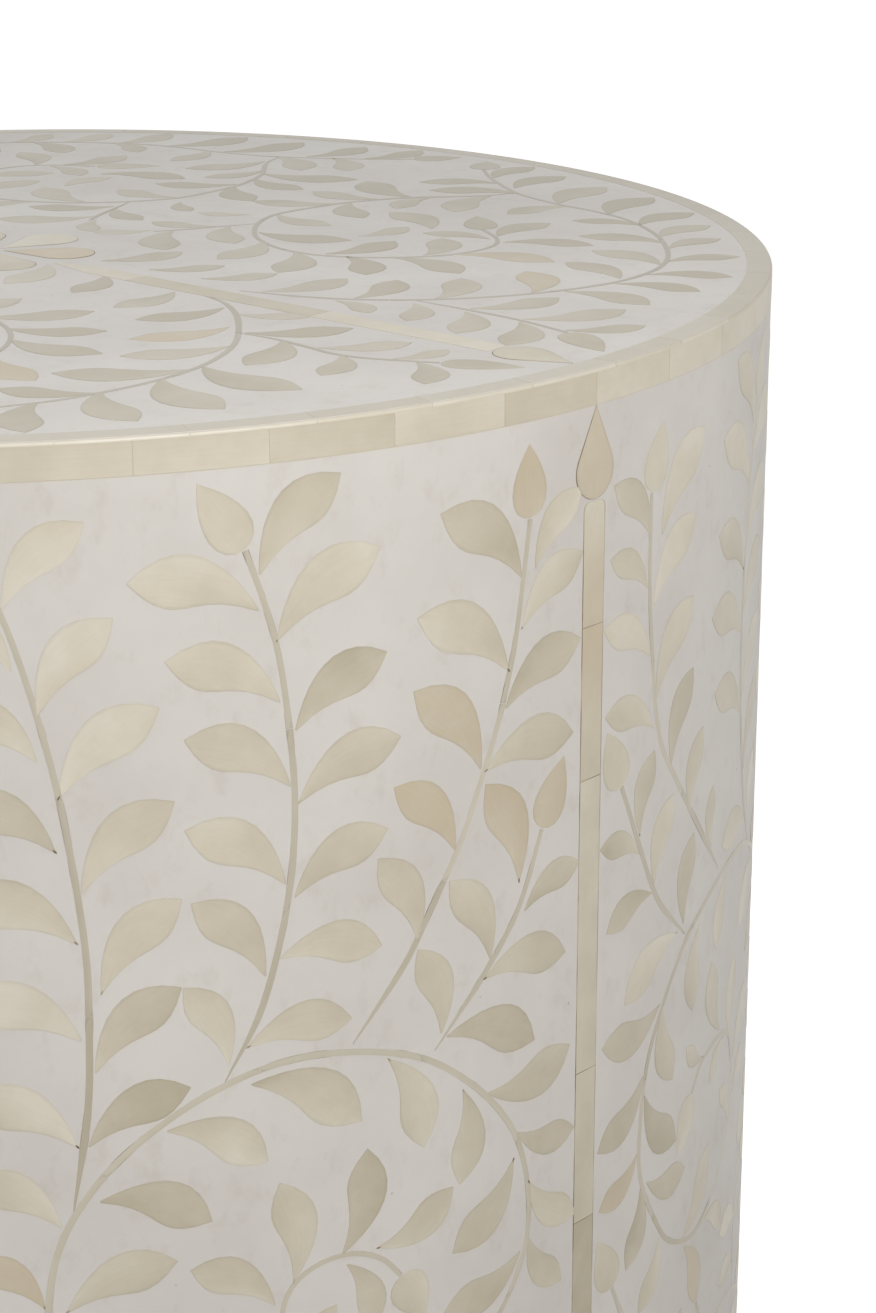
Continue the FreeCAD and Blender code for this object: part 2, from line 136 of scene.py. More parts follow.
MIDDLE_SPRAY = {
    "tones": (8.4, 3.5),
    "stem": ((124, 862), (144, 740), (149, 650), (149, 560), (139, 460), (124, 360), (104, 270),
             (84, 200), (62, 140)),
    "bud": (34, 62, 3),
    "right": ((78, 172, 163, 86, 1), (109, 287, 189, 188, 1), (127, 378, 234, 288, 1),
              (147, 485, 247, 393, 3), (164, 600, 252, 503, 3), (154, 692, 249, 604, 5),
              (144, 778, 256, 722, 7)),
    "left": ((84, 238, 14, 172, 2), (106, 337, 12, 274, 2), (121, 437, 12, 376, 5),
             (139, 541, 14, 482, 2), (141, 654, 14, 598, 1), (132, 777, 14, 712, 1),
             (112, 872, 12, 808, 2), (90, 968, 12, 906, 9)),
}
SCROLL = {
    "root": 0.9,
    "tones": (3, 3),
    "stem": ((94, 1000), (94, 970), (104, 910), (129, 855), (174, 800), (234, 755), (294, 726), (354, 711),
             (414, 711), (484, 726), (544, 752), (604, 800), (649, 852), (676, 905), (689, 970), (684, 1032),
             (655, 1092), (610, 1140), (560, 1168), (505, 1176), (450, 1160), (402, 1126), (368, 1078),
             (354, 1030), (364, 990), (396, 967), (440, 963), (478, 980), (503, 1008)),
    "bud": (536, 1070, 3),
    "right": ((114, 975, 236, 928, 4), (154, 845, 276, 886, 6.5), (229, 770, 341, 826, 3),
              (324, 730, 454, 802, 4), (489, 736, 534, 856, 3), (589, 802, 584, 918, 4),
              (664, 913, 574, 1003, 5), (676, 1036, 562, 1076, 5), (545, 1166, 462, 1100, 3),
              (384, 1100, 420, 1022, 4), (434, 975, 470, 1062, 5)),
    "left": ((624, 816, 756, 797, 5), (669, 880, 766, 907, 5), (689, 950, 770, 1022, 3),
             (689, 1022, 746, 1102, 5), (556, 1176, 500, 1262, 8), (470, 1174, 392, 1226, 4),
             (352, 1060, 262, 1030, 3), (346, 1004, 250, 942, 4), (369, 980, 354, 855, 4),
             (429, 960, 461, 838, 6), (474, 965, 575, 918, 4)),
}
# Beyond the rod in front the two sprays beside it were cut by another hand.
SIDE_SPRAY = {
    "stem": ((455, 700), (520, 630), (595, 540), (645, 465), (665, 365), (675, 270), (675, 165)),
    "bud": (650, 85, 2),
    "right": ((675, 215, 750, 140, 5), (680, 275, 755, 225, 4), (670, 360, 765, 305, 1),
              (660, 450, 760, 410, 3)),
    "left": ((650, 220, 545, 115, 1), (665, 300, 565, 215, 1), (655, 415, 565, 315, 3),
             (615, 510, 560, 405, 7), (560, 590, 525, 490, 4), (485, 660, 485, 580, 4)),
}
SIDE_BUD = {
    "stem": ((565, 745), (630, 685), (660, 640), (685, 590), (725, 505)),
    "bud": (755, 430, 3),
    "right": ((685, 600, 765, 570, 5), (655, 660, 750, 680, 5), (590, 735, 710, 785, 1)),
    "left": ((685, 575, 655, 480, 4), (650, 650, 605, 550, 2), (570, 730, 545, 620, 6)),
}
SIDE_SCROLL = {
    "root": 0.9,
    "stem": (*SCROLL["stem"][:6], (300, 725), (355, 710), (425, 710), (495, 725), (560, 755), (615, 810),
             (655, 880), (670, 965), (665, 1035), (625, 1110), (585, 1155), (520, 1180), (465, 1170),
             (410, 1135), (375, 1090), (355, 1035), (365, 995), (385, 955), (425, 940), (470, 940),
             (505, 950), (530, 975)),
    "bud": (570, 1045, 2),
    "right": (*SCROLL["right"][:3], (415, 720, 455, 810, 3), (520, 750, 535, 860, 4),
              (620, 820, 590, 930, 4), (660, 925, 575, 1020, 7), (650, 1045, 545, 1070, 5),
              (545, 1170, 465, 1075, 4), (375, 1080, 420, 1020, 4), (410, 950, 465, 990, 4)),
    "left": ((630, 815, 755, 825, 5), (665, 895, 760, 960, 6), (675, 995, 755, 1040, 9),
             (665, 1045, 695, 1145, 6), (615, 1135, 665, 1220, 2), (540, 1185, 495, 1290, 9),
             (470, 1180, 390, 1225, 4), (350, 1055, 260, 1030, 3), (350, 1005, 250, 940, 4),
             (375, 965, 355, 855, 4), (430, 930, 470, 820, 5), (495, 940, 550, 905, 4)),
}
# Below the first scroll the vine repeats, one tier lower each time, with shorter sprays between.
TIER_DROP = 650
LINK = {
    "stem": ((124, 1512), (144, 1390), (149, 1300), (145, 1210), (124, 1110), (100, 1040), (94, 990)),
    "bud": None,
    "right": ((112, 1066, 222, 1000, 4), (140, 1165, 240, 1085, 3), (152, 1262, 252, 1175, 3),
              (152, 1350, 250, 1265, 5), (144, 1428, 256, 1372, 6)),
    "left": ((106, 1075, 12, 1000, 3), (134, 1180, 12, 1100, 2), (146, 1290, 14, 1210, 4),
             (141, 1405, 14, 1320, 2), (114, 1520, 12, 1440, 3), (90, 1616, 12, 1540, 5)),
}
SHORT_SPRAY = {
    "stem": ((294, 1374), (300, 1300), (294, 1230), (276, 1170)),
    "bud": (250, 1096, 4),
    "right": ((300, 1262, 396, 1240, 3), (300, 1330, 392, 1318, 5)),
    "left": ((298, 1340, 252, 1262, 2),),
}
TWIG = {
    "stem": ((446, 1360), (474, 1322), (492, 1290)),
    "bud": None,
    "right": ((474, 1322, 560, 1282, 4),),
    "left": (),
}

# The paper pattern of a quarter of the table top, in thousandths of the radius, across and away from
# the front. One radial bar lies at BAR_LEAN to it, and the quarter is mirrored about bar and crossways.
BAR_LEAN = math.radians(-50.3)
RIM_VINE = {
    "stem": ((292, -302), (360, -346), (425, -374), (505, -388), (585, -384), (660, -366), (735, -332),
             (785, -292), (824, -242), (850, -178), (864, -100), (868, -30), (862, 40), (846, 105),
             (815, 165), (785, 210), (762, 255), (744, 300), (735, 345), (729, 395), (725, 450), (727, 512)),
    "bud": (745, 584, 4),
    "right": ((400, -378, 432, -452, 3), (680, -366, 765, -458, 4), (750, -330, 842, -392, 6),
              (800, -282, 902, -312, 7), (843, -205, 942, -187, 5), (866, -118, 946, -66, 4),
              (870, -40, 954, 28, 4), (862, 48, 954, 122, 8), (838, 132, 925, 246, 8),
              (785, 222, 876, 338, 4), (745, 352, 836, 436, 7), (730, 440, 806, 524, 6)),
    "left": ((318, -312, 430, -250, 4), (425, -366, 490, -268, 5), (520, -384, 570, -270, 3),
             (640, -366, 656, -238, 9), (762, -300, 715, -190, 4), (830, -222, 763, -118, 3),
             (866, -84, 766, -18, 5), (860, 44, 778, 92, 8), (795, 198, 700, 150, 5),
             (742, 306, 622, 352, 8), (730, 392, 618, 420, 6)),
}
RIM_BRANCH = {
    "stem": ((496, -392), (548, -452), (600, -520), (640, -590)),
    "bud": (662, -692, 5),
    "right": ((490, -408, 468, -502, 3), (543, -462, 514, -576, 3), (596, -528, 560, -646, 4)),
    "left": ((552, -446, 667, -400, 4), (603, -512, 732, -478, 3), (640, -578, 736, -568, 5)),
}
INNER_SCROLL = {
    "stem": ((738, 310), (684, 296), (585, 297), (520, 282), (472, 260), (392, 202), (357, 134), (345, 55),
             (352, 0), (372, -52), (412, -96), (475, -122), (548, -126), (602, -108), (642, -70), (656, -20),
             (648, 44)),
    "bud": (656, 142, 6),
    "right": ((350, 2, 282, -104, 3), (384, -74, 350, -200, 4), (446, -112, 456, -230, 6),
              (506, -128, 572, -240, 5), (585, -118, 702, -186, 9), (660, -46, 772, -86, 6),
              (660, -4, 746, 78, 6), (480, 268, 366, 304, 4), (545, 292, 458, 368, 4),
              (590, 300, 546, 440, 6)),
    "left": ((700, 292, 632, 180, 5), (616, 294, 556, 216, 4), (500, 268, 502, 152, 5),
             (390, 194, 452, 104, 3), (352, 70, 466, -4, 7), (422, -90, 522, -18, 8), (545, -118, 586, -8, 4),
             (646, -22, 566, 34, 4), (582, 62, 544, 190, 5), (478, 24, 552, 80, 4)),
}
HEART_BRANCH = {
    "stem": ((357, 134), (300, 118), (250, 104), (214, 98)),
    "bud": None,
    "right": ((300, 122, 216, 168, 3), (353, 205, 284, 226, 2), (212, 106, 132, 112, 2)),
    "left": ((318, 116, 314, -2, 4), (240, 98, 222, -32, 4)),
}
BAR_LEAVES = {
    "stem": None,
    "bud": None,
    "right": (),
    "left": ((136, -92, 242, -48, 4), (192, -156, 288, -146, 4), (252, -222, 348, -206, 3)),
}
# The near quarter was cut by another hand: its rim vine, along the bar and square to it.
NEAR_VINE = {
    "stem": ((400, 15), (455, 30), (510, 65), (565, 115), (615, 170), (650, 225), (675, 290), (685, 365),
             (680, 445), (665, 510), (620, 600), (575, 650), (530, 685), (470, 710), (400, 730), (320, 740),
             (245, 760), (200, 785), (165, 810), (75, 885)),
    "bud": (25, 945, 4),
    "right": ((510, 65, 585, 5, 2), (675, 280, 830, 285, 5), (685, 350, 830, 400, 3),
              (680, 435, 800, 495, 4), (665, 510, 750, 600, 6), (625, 590, 690, 690, 4),
              (585, 640, 600, 765, 3), (515, 690, 515, 820, 5), (435, 725, 400, 870, 4),
              (330, 745, 300, 890, 7), (205, 790, 200, 920, 4), (130, 845, 110, 955, 3)),
    "left": ((125, 15, 175, 130, 1), (230, 15, 275, 110, 6), (365, 25, 375, 135, 4), (475, 50, 445, 165, 7),
             (555, 120, 515, 240, 9), (625, 190, 570, 305, 2), (675, 300, 575, 410, 4),
             (680, 440, 585, 495, 6), (620, 605, 505, 575, 4), (515, 690, 425, 650, 5),
             (355, 735, 330, 635, 3), (240, 760, 125, 705, 5), (165, 810, 70, 745, 4)),
}
NEAR_BRANCH = {
    "stem": ((585, 135), (640, 130), (695, 135), (740, 140), (785, 130), (855, 95)),
    "bud": (940, 50, 5),
    "right": ((590, 130, 665, 30, 8), (705, 130, 765, 40, 2), (805, 115, 820, 40, 3)),
    "left": ((650, 130, 705, 245, 4), (750, 140, 800, 225, 4), (835, 110, 910, 180, 5)),
}


def linear(code):
    """Linear colour of an sRGB hex code: each channel through the sRGB curve."""
    channels = np.array([int(code[i:i + 2], 16) for i in (1, 3, 5)]) / 255
    low, high = channels / 12.92, ((channels + 0.055) / 1.055) ** 2.4
    return tuple(float(c) for c in np.where(channels <= 0.04045, low, high))


def colour(code, name, description):
    """Colour property with an sRGB hex code as its default."""
    return bpy.props.FloatVectorProperty(name=name, description=description, subtype="COLOR", size=3,
                                         min=0, max=1, default=linear(code))


def length(default, name, description):
    """Length property in metres."""
    return bpy.props.FloatProperty(name=name, description=description, default=default, min=0,
                                   unit="LENGTH", precision=5)


def lengths(default, name, description):
    """Several lengths in metres as one property."""
    return bpy.props.FloatVectorProperty(name=name, description=description, size=len(default),
                                         default=default, min=0, unit="LENGTH", precision=5)


class SideTableSizes(bpy.types.PropertyGroup):
    """Sizes of the dressed pieces."""
    resin_dip: length(0.10 * MM, "Resin dip", "How far the cured resin lies below the bone")
    inlay_depth: length(0.7 * MM, "Inlay depth", "Depth of a bone piece in the resin")
    stem_width: length(1.85 * MM, "Stem width", "Width of a stem at its middle")
    bud_width: length(11.5 * MM, "Bud width", "Width of a bud")
    rim_width: length(7.15 * MM, "Rim width", "Flat width of the rim and the thickness below it")
    rim_round: length(1.0 * MM, "Rim round", "Radius of the outer edge of the rim")
    joint_gap: length(0.2 * MM, "Joint gap", "Gap between two bone strips")
    glue_line: length(0.22 * MM, "Glue line", "Dark line round a rod, bar or band")
    ground_depth: length(3 * MM, "Ground depth", "Thickness of the resin")
    rod_width: length(8 * MM, "Rod width", "Width of an upright rod and of a bar on the top")
    rod_joints: lengths((0.0970, 0.1819, 0.2669, 0.3109, 0.3929, 0.4339), "Rod joints",
                        "Heights where rods are butted")
    bar_start: length(28 * MM, "Bar start", "Inner end of a bar, from the middle of the top")
    bar_end: length(193.0 * MM, "Bar end", "Outer end of a bar, from the middle of the top")
    bar_joints: lengths((0.061, 0.131), "Bar joints", "Where bars are butted, from the middle of the top")
    finial_width: length(14.4 * MM, "Finial width", "Width of the drop at the end of a rod or bar")
    finial_length: length(23.4 * MM, "Finial length", "Length of the drop at the end of a rod or bar")
    finial_gap: length(0.6 * MM, "Finial gap", "Space between a rod and its drop")
    petal_radius: length(8.3 * MM, "Petal radius", "Radius of a petal's round end")
    petal_reach: length(30.7 * MM, "Petal reach", "Outer end of a petal, from the middle of the top")
    petal_tip: length(4 * MM, "Petal tip", "Point of a petal, from the middle of the top")


class SideTableColours(bpy.types.PropertyGroup):
    """Colours of the finishes."""
    bone_pale: colour("#d0cabc", "Pale bone", "Bleached bone")
    bone_cream: colour("#c9c2b1", "Cream bone", "Usual bone")
    bone_olive: colour("#c1baa8", "Olive bone", "Bone with a green cast")
    bone_grey: colour("#bbb3a1", "Grey bone", "Bone with a grey cast")
    bone_tan: colour("#bfb199", "Tan bone", "Bone near the marrow")
    bone_dark: colour("#b0a893", "Dark bone", "Stained bone")
    # On the flat face of the rim this grey is also a painted reflection
    bone_worn_and_reflection: colour("#a9a397", "Worn bone", "Bone of the rim and top, greyed by handling")
    resin_light: colour("#ccc9c4", "Resin", "Off-white resin")
    resin_grey: colour("#c3bfba", "Resin shade", "Greyer clouds in the resin")
    resin_smear: colour("#f8f6f5", "Resin smear", "Faint warm smears that tint the resin")
    glue_dark: colour("#6f5f49", "Dark glue", "Glue darkened by dust in the joints")
    glue_pale: colour("#b3aa97", "Pale glue", "Glue sanded clean in the joints")
    ply: colour("#b08a5c", "Plywood", "Bent plywood")
    board: colour("#8f7350", "Board", "Boards inside and below")
    batten: colour("#a5835a", "Batten", "Uprights inside the drum")
    pad: colour("#2b2724", "Pad", "Pads under the table")
    floor: colour("#d4d2cf", "Floor", "Floor of the studio")


def sizes():
    return bpy.context.scene.side_table_sizes


def colours():
    return bpy.context.scene.side_table_colours


def per(millimetres):
    """Texture scale, in features per metre, of a feature this many millimetres wide."""
    return 1000 / millimetres


def add(tree, kind, links=None, stops=(), **settings):
    """Node with its settings, its inputs linked to sockets or set to values, and its ramp's stops."""
    made = tree.nodes.new(kind)
    for name, setting in settings.items():
        setattr(made, name, setting)
    for name, source in (links or {}).items():
        if isinstance(source, bpy.types.NodeSocket):
            tree.links.new(source, made.inputs[name])
        else:
            made.inputs[name].default_value = source
    for index, (place, value) in enumerate(stops):
        element = made.color_ramp.elements[index] if index < 2 else made.color_ramp.elements.new(place)
        element.position = place
        element.color = (value, value, value, 1) if isinstance(value, float) else (*value, 1)
    return made


def noise(tree, place, scale, detail, roughness=0.5, shift=None):
    """Cloudy value about 0.5, with other clouds for each shift."""
    inputs = {"Vector": place, "Scale": scale, "Detail": detail, "Roughness": roughness}
    if shift is None:
        return add(tree, "ShaderNodeTexNoise", inputs).outputs["Fac"]
    return add(tree, "ShaderNodeTexNoise", {**inputs, "W": shift}, noise_dimensions="4D").outputs["Fac"]


def stretched(tree, place, scale, rotation=(0, 0, 0)):
    """Place, turned and stretched."""
    inputs = {"Vector": place, "Scale": scale, "Rotation": rotation}
    return add(tree, "ShaderNodeMapping", inputs).outputs[0]


def maths(tree, operation, first, second, **settings):
    """Result of an operation on two values."""
    return add(tree, "ShaderNodeMath", {0: first, 1: second}, operation=operation, **settings).outputs[0]


def spread(tree, value, start, end, low, high, **settings):
    """Value between start and end, spread from low to high."""
    inputs = {"Value": value, "From Min": start, "From Max": end, "To Min": low, "To Max": high}
    return add(tree, "ShaderNodeMapRange", inputs, **settings).outputs[0]


def ramp(tree, value, *stops):
    """Colour at a value, between stops that each give a value with its colour or grey."""
    return add(tree, "ShaderNodeValToRGB", {"Fac": value}, stops).outputs[0]


def mix(tree, share, first, second, blend="MIX"):
    """First colour, mixed with this share of the second, or multiplied by it to this share."""
    return add(tree, "ShaderNodeMix", {0: share, 6: first, 7: second}, data_type="RGBA",
               blend_type=blend).outputs[2]


def coat(tree, base, rough, ior, height=None, strength=0.0, depth=0.0, glow=0.0):
    """Surface of a material: its colour, roughness and index of refraction, bumps from a height, and a white
    glow."""
    inputs = {"Base Color": base, "Roughness": rough, "IOR": ior, "Emission Color": (1, 1, 1, 1),
              "Emission Strength": glow}
    if height is not None:
        bump = add(tree, "ShaderNodeBump", {"Height": height, "Strength": strength, "Distance": depth})
        inputs["Normal"] = bump.outputs[0]
    shader = add(tree, "ShaderNodeBsdfPrincipled", inputs)
    add(tree, "ShaderNodeOutputMaterial", {"Surface": shader.outputs[0]})


def new_material(name):
    """Empty material, its tree, and the place of each point of the surface in metres."""
    material = bpy.data.materials.new(name)
    material.use_nodes = True
    tree = material.node_tree
    tree.nodes.clear()
    return material, tree, add(tree, "ShaderNodeTexCoord").outputs["Object"]


def bone_material():
    """Bone, sawn into strips, bleached and sanded: cream with soft clouds, fine fibres along each piece,
    a darker root and edge where glue has soaked in, and a satin sheen."""
    c = colours()
    material, tree, place = new_material("sanded_bone")
    inlay = add(tree, "ShaderNodeAttribute", attribute_name="inlay")
    split = add(tree, "ShaderNodeSeparateColor", {"Color": inlay.outputs["Color"]})
    tone, draw, edge = (split.outputs[channel] for channel in ("Red", "Green", "Blue"))
    tinted = inlay.outputs["Alpha"]
    shift = maths(tree, "MULTIPLY", draw, 60)
    cloud = noise(tree, place, per(13), 5, 0.6, shift)
    shade = maths(tree, "ADD", tone, spread(tree, cloud, 0.3, 0.7, -0.16, 0.16), use_clamp=True)
    base = ramp(tree, shade, (0.0, c.bone_pale), (0.86, c.bone_dark), (0.22, c.bone_cream),
                (0.44, c.bone_olive), (0.62, c.bone_grey))
    # Tan, in clouds, where the fourth number is below zero, and greyed where it is above: by handling, and on
    # the flat face of the rim also by a painted reflection
    tan = maths(tree, "MULTIPLY", spread(tree, tinted, 0, -1, 0, 1), spread(tree, cloud, 0.3, 0.6, 0.45, 1))
    grey_and_reflection = mix(tree, tinted, mix(tree, tan, base, (*c.bone_tan, 1)), (*c.bone_worn_and_reflection, 1))
    # Fibres 0.5 mm wide and 9 mm long, a little coarser than in bone, so that they show
    grain = add(tree, "ShaderNodeUVMap", uv_map="grain").outputs["UV"]
    fibre = noise(tree, stretched(tree, grain, (1 / 9, 1 / 0.5, 1)), 1, 3, shift=shift)
    streaked = mix(tree, 1, grey_and_reflection, ramp(tree, fibre, (0.3, 0.96), (0.7, 1.0)), "MULTIPLY")
    rubbed = mix(tree, 1, streaked, ramp(tree, edge, (0.0, 0.90), (0.16, 1.0)), "MULTIPLY")
    coat(tree, rubbed, spread(tree, fibre, 0, 1, 0.34, 0.52), 1.54, fibre, 0.12, 0.05 * MM)
    return material


def resin_material():
    """Polyester resin, poured thick with white filler and sanded: matt off-white with faint grey clouds,
    fine sanding marks and a few pinholes, whose shade is painted as dark dots."""
    c = colours()
    material, tree, place = new_material("sanded_resin")
    base = ramp(tree, noise(tree, place, per(60), 5, 0.62), (0.36, c.resin_light), (0.68, c.resin_grey))
    smear_place = stretched(tree, place, (1, 1, 0.7), (0.3, 0.2, 0.5))
    smear = noise(tree, smear_place, per(7), 5, 0.65)
    tinted = mix(tree, 1, base, ramp(tree, smear, (0.30, c.resin_smear), (0.46, 1.0)), "MULTIPLY")
    # Pinholes about 0.6 mm across, one in about every third cell, each a dark dot of painted shade
    cells = add(tree, "ShaderNodeTexVoronoi", {"Vector": place, "Scale": per(11)})
    picked = add(tree, "ShaderNodeSeparateColor", {"Color": cells.outputs["Color"]}).outputs["Red"]
    few = ramp(tree, picked, (0.64, 0.0), (0.66, 1.0))
    pinhole_shade = ramp(tree, cells.outputs["Distance"], (0.015, 0.62), (0.04, 1.0))
    grit = noise(tree, smear_place, per(1.6), 2)
    coat(tree, mix(tree, few, tinted, pinhole_shade, "MULTIPLY"), spread(tree, grit, 0, 1, 0.46, 0.66), 1.52, grit, 0.10,
         0.06 * MM)
    return material


def glue_material(name, share, pale):
    """Polyester glue stained by bone dust: a thin brown line, broken where it was sanded clean, and dark over
    more of its length the larger the share."""
    material, tree, place = new_material(name)
    gaps = noise(tree, place, per(16), 4)
    coat(tree, ramp(tree, gaps, (share, colours().glue_dark), (share + 0.16, pale)), 0.6, 1.52)
    return material


def wood_material(name, shade, along):
    """Raw wood, planed or peeled: dull, with grain 2 mm wide and 40 mm long that runs along the piece."""
    material, tree, place = new_material(name)
    stretch = [per(2)] * 3
    stretch[along] = per(40)
    grain = noise(tree, stretched(tree, place, stretch), 1, 4)
    base = ramp(tree, grain, (0.35, [0.62 * part for part in shade]), (0.65, shade))
    coat(tree, base, 0.7, 1.5, grain, 0.2, 0.1 * MM)
    return material


def felt_material():
    """Pressed felt: dark, dull and fibrous."""
    material, tree, place = new_material("pressed_felt")
    shade = colours().pad
    fluff = noise(tree, place, per(0.8), 3)
    base = ramp(tree, fluff, (0.3, [0.5 * part for part in shade]), (0.7, shade))
    coat(tree, base, 0.95, 1.5, fluff, 0.5, 0.2 * MM)
    return material


def floor_material():
    """Painted studio floor: pale, matt and faintly uneven, and washed with light behind the table."""
    material, tree, place = new_material("painted_floor")
    shade = colours().floor
    cloud = noise(tree, place, per(700), 2)
    base = ramp(tree, cloud, (0.3, [0.98 * part for part in shade]), (0.7, shade))
    away = add(tree, "ShaderNodeSeparateXYZ", {"Vector": place}).outputs["Y"]
    wash = spread(tree, away, -0.02, 0.26, 0, 0.66, interpolation_type="SMOOTHERSTEP")
    coat(tree, base, 0.9, 1.45, glow=wash)
    return material


def once(name, make, *details):
    """Material of this name, made the first time it is asked for."""
    return bpy.data.materials.get(name) or make(*details)


def glue(name):
    """Glue of this name: its share that is dark, and its colour where it was sanded clean."""
    c = colours()
    kinds = {"bone_dust_glue": (0.22, c.bone_olive), "stained_glue": (0.44, c.glue_pale),
             "sanded_glue": (0.32, c.resin_light)}
    return once(name, glue_material, name, *kinds[name])


def new_piece(name, material, points, faces, grain=None, inlay=None):
    """Mesh object at the origin, from vertices and quads, that rides on the table."""
    mesh = bpy.data.meshes.new(name)
    mesh.vertices.add(len(points))
    mesh.vertices.foreach_set("co", np.ascontiguousarray(points, np.float32).ravel())
    mesh.loops.add(faces.size)
    mesh.loops.foreach_set("vertex_index", np.ascontiguousarray(faces, np.int32).ravel())
    mesh.polygons.add(len(faces))
    mesh.polygons.foreach_set("loop_start", np.arange(0, faces.size, 4, dtype=np.int32))
    mesh.update(calc_edges=True)
    if grain is not None:
        layer = mesh.uv_layers.new(name="grain")
        layer.uv.foreach_set("vector", np.ascontiguousarray(grain[faces.ravel()], np.float32).ravel())
        layer = mesh.attributes.new("inlay", "FLOAT_COLOR", "POINT")
        layer.data.foreach_set("color", np.ascontiguousarray(inlay, np.float32).ravel())
    mesh.shade_smooth()
    mesh.set_sharp_from_angle(angle=math.radians(35))
    mesh.materials.append(material)
    piece = bpy.data.objects.new(name, mesh)
    bpy.context.scene.collection.objects.link(piece)
    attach(piece, "root")
    return piece


def tube_faces(stations, around, closed):
    """Quads of a closed section carried along a path: station i and point j of the section to the next
    ones, and either back to the first station or with an end of quads that pair the section's first and
    second half."""
    i, j = np.meshgrid(np.arange(stations if closed else stations - 1), np.arange(around), indexing="ij")
    k, following = (i + 1) % stations, (j + 1) % around
    sides = np.stack([i * around + j, i * around + following, k * around + following, k * around + j], -1)
    sides = sides.reshape(-1, 4)
    if closed:
        return sides
    j = np.arange(around // 2 - 1)
    start = np.stack([j, around - 1 - j, around - 2 - j, j + 1], -1)
    end = (stations - 1) * around + start[:, ::-1]
    return np.concatenate([sides, start, end])


def gather(parts):
    """Vertices and quads of several closed pieces as one, each piece's quads counted on from the last."""
    offsets = np.cumsum([0] + [len(points) for points, _ in parts[:-1]])
    return (np.concatenate([points for points, _ in parts]),
            np.concatenate([faces + offset for (_, faces), offset in zip(parts, offsets)]))


def on_wall(flat, radius):
    """Points (turn from the front in radians, height) carried round the drum at this radius."""
    turn, height = flat[..., 0], flat[..., 1]
    return np.stack([radius * np.sin(turn), -radius * np.cos(turn), height], -1)


def on_top(flat, height):
    """Points (across, away) laid on the table top at this height."""
    return np.concatenate([flat, np.full((*flat.shape[:-1], 1), height)], -1)


def carried_round(section, turns):
    """Section of points (radius, height) carried round the drum, with one station for each turn."""
    radius, height = section.T
    level = np.broadcast_to(height, (len(turns), len(section)))
    return np.stack([radius * np.sin(turns)[:, None], -radius * np.cos(turns)[:, None], level], -1)


def two_sided(values):
    """Values across the face of a piece, then back across its underside, one row for each vertex."""
    return np.concatenate([values, values[:, ::-1]], 1).reshape(-1, values.shape[-1])


class Tray:
    """Bone pieces that are cut out flat and then laid into the ground, gathered as one mesh.

    A piece is a grid of stations along it and points across it, from left to right, in metres."""

    def __init__(self, lay, face, depth, seed, wear=0.0, drift=0.11):
        self.lay, self.face, self.depth, self.wear, self.drift = lay, face, depth, wear, drift
        self.random = np.random.default_rng(seed)
        self.parts, self.grains, self.inlays = [], [], []

    def place(self, grid, laid, tone, tan=0.0):
        """Add one piece: grid gives its true size, laid where it lies, tone its colour and tan its share of
        tan, from 0 to 1, each one number or one for each station."""
        stations, across = grid.shape[:2]
        face = self.face - 0.004 * MM * (len(self.parts) % 8)
        section = np.concatenate([self.lay(laid, face), self.lay(laid[:, ::-1], face - self.depth)], 1)
        middle = grid[:, across // 2]
        run = np.concatenate([[0], np.cumsum(np.linalg.norm(np.diff(middle, axis=0), axis=1))])
        aside = np.linalg.norm(grid - middle[:, None], axis=-1) * np.sign(np.arange(across) - across // 2)
        grain = np.stack([np.broadcast_to(run[:, None], aside.shape), aside], -1) / MM
        edge = np.ones((stations, across))
        edge[:, [0, -1]] = 0
        edge[[0, -1]] = 0
        draw, along, over = self.random.random(), *self.random.uniform(-1, 1, 2) * self.drift
        drift = along * np.linspace(-1, 1, stations)[:, None] + over * np.linspace(-1, 1, across)
        shade = np.clip(np.reshape(tone, (-1, 1)) + drift, 0, 1)
        tinted = np.reshape(self.wear - (1 + self.wear) * np.asarray(tan, float), (-1, 1))
        tinted = np.broadcast_to(tinted, edge.shape)
        inlay = np.stack([shade, np.full_like(edge, draw), edge, tinted], -1)
        self.parts.append((section.reshape(-1, 3), tube_faces(stations, 2 * across, False)))
        self.grains.append(two_sided(grain))
        self.inlays.append(two_sided(inlay))

    def piece(self, name, material, slot="bone"):
        """One object from all the pieces."""
        points, faces = gather(self.parts)
        return new_piece(name, material, points, faces, np.concatenate(self.grains),
                         np.concatenate(self.inlays))


def curve(points, step):
    """Smooth line through points, a Catmull-Rom curve (each span a cubic whose slope at a point is half the
    way from the point before to the one after), resampled at even steps."""
    points = np.asarray(points, float)
    padded = np.concatenate([[2 * points[0] - points[1]], points, [2 * points[-1] - points[-2]]])
    a, b, c, d = padded[:-3], padded[1:-2], padded[2:-1], padded[3:]
    t = np.linspace(0, 1, 12, endpoint=False)[None, :, None]
    a, b, c, d = (corner[:, None] for corner in (a, b, c, d))
    line = 2 * b + (c - a) * t + (2 * a - 5 * b + 4 * c - d) * t ** 2 + (3 * b - a - 3 * c + d) * t ** 3
    line = 0.5 * line
    line = np.concatenate([line.reshape(-1, 2), points[-1:]])
    run = np.concatenate([[0], np.cumsum(np.linalg.norm(np.diff(line, axis=0), axis=1))])
    even = np.linspace(0, run[-1], max(4, int(run[-1] / step) + 1))
    return np.stack([np.interp(even, run, line[:, 0]), np.interp(even, run, line[:, 1])], -1)


def stations(low, high, count, margin):
    """Even stations from low to high, and one more at a small margin from each end."""
    return np.concatenate([[low], np.linspace(low + margin, high - margin, count), [high]])


def ribbon(line, half_widths, margin=None):
    """Strip along a line: each point moved to the left, kept, and moved to the right, square to the line, and
    with a margin also by that much less."""
    slope = np.gradient(line, axis=0)
    slope /= np.linalg.norm(slope, axis=1, keepdims=True)
    left = np.stack([-slope[:, 1], slope[:, 0]], -1)
    half = np.asarray(half_widths)[:, None]
    inner = [] if margin is None else [half - margin]
    reach = np.concatenate([half, *inner, 0 * half, *(-side for side in inner), -half], 1)
    return line[:, None] + reach[..., None] * left[:, None]


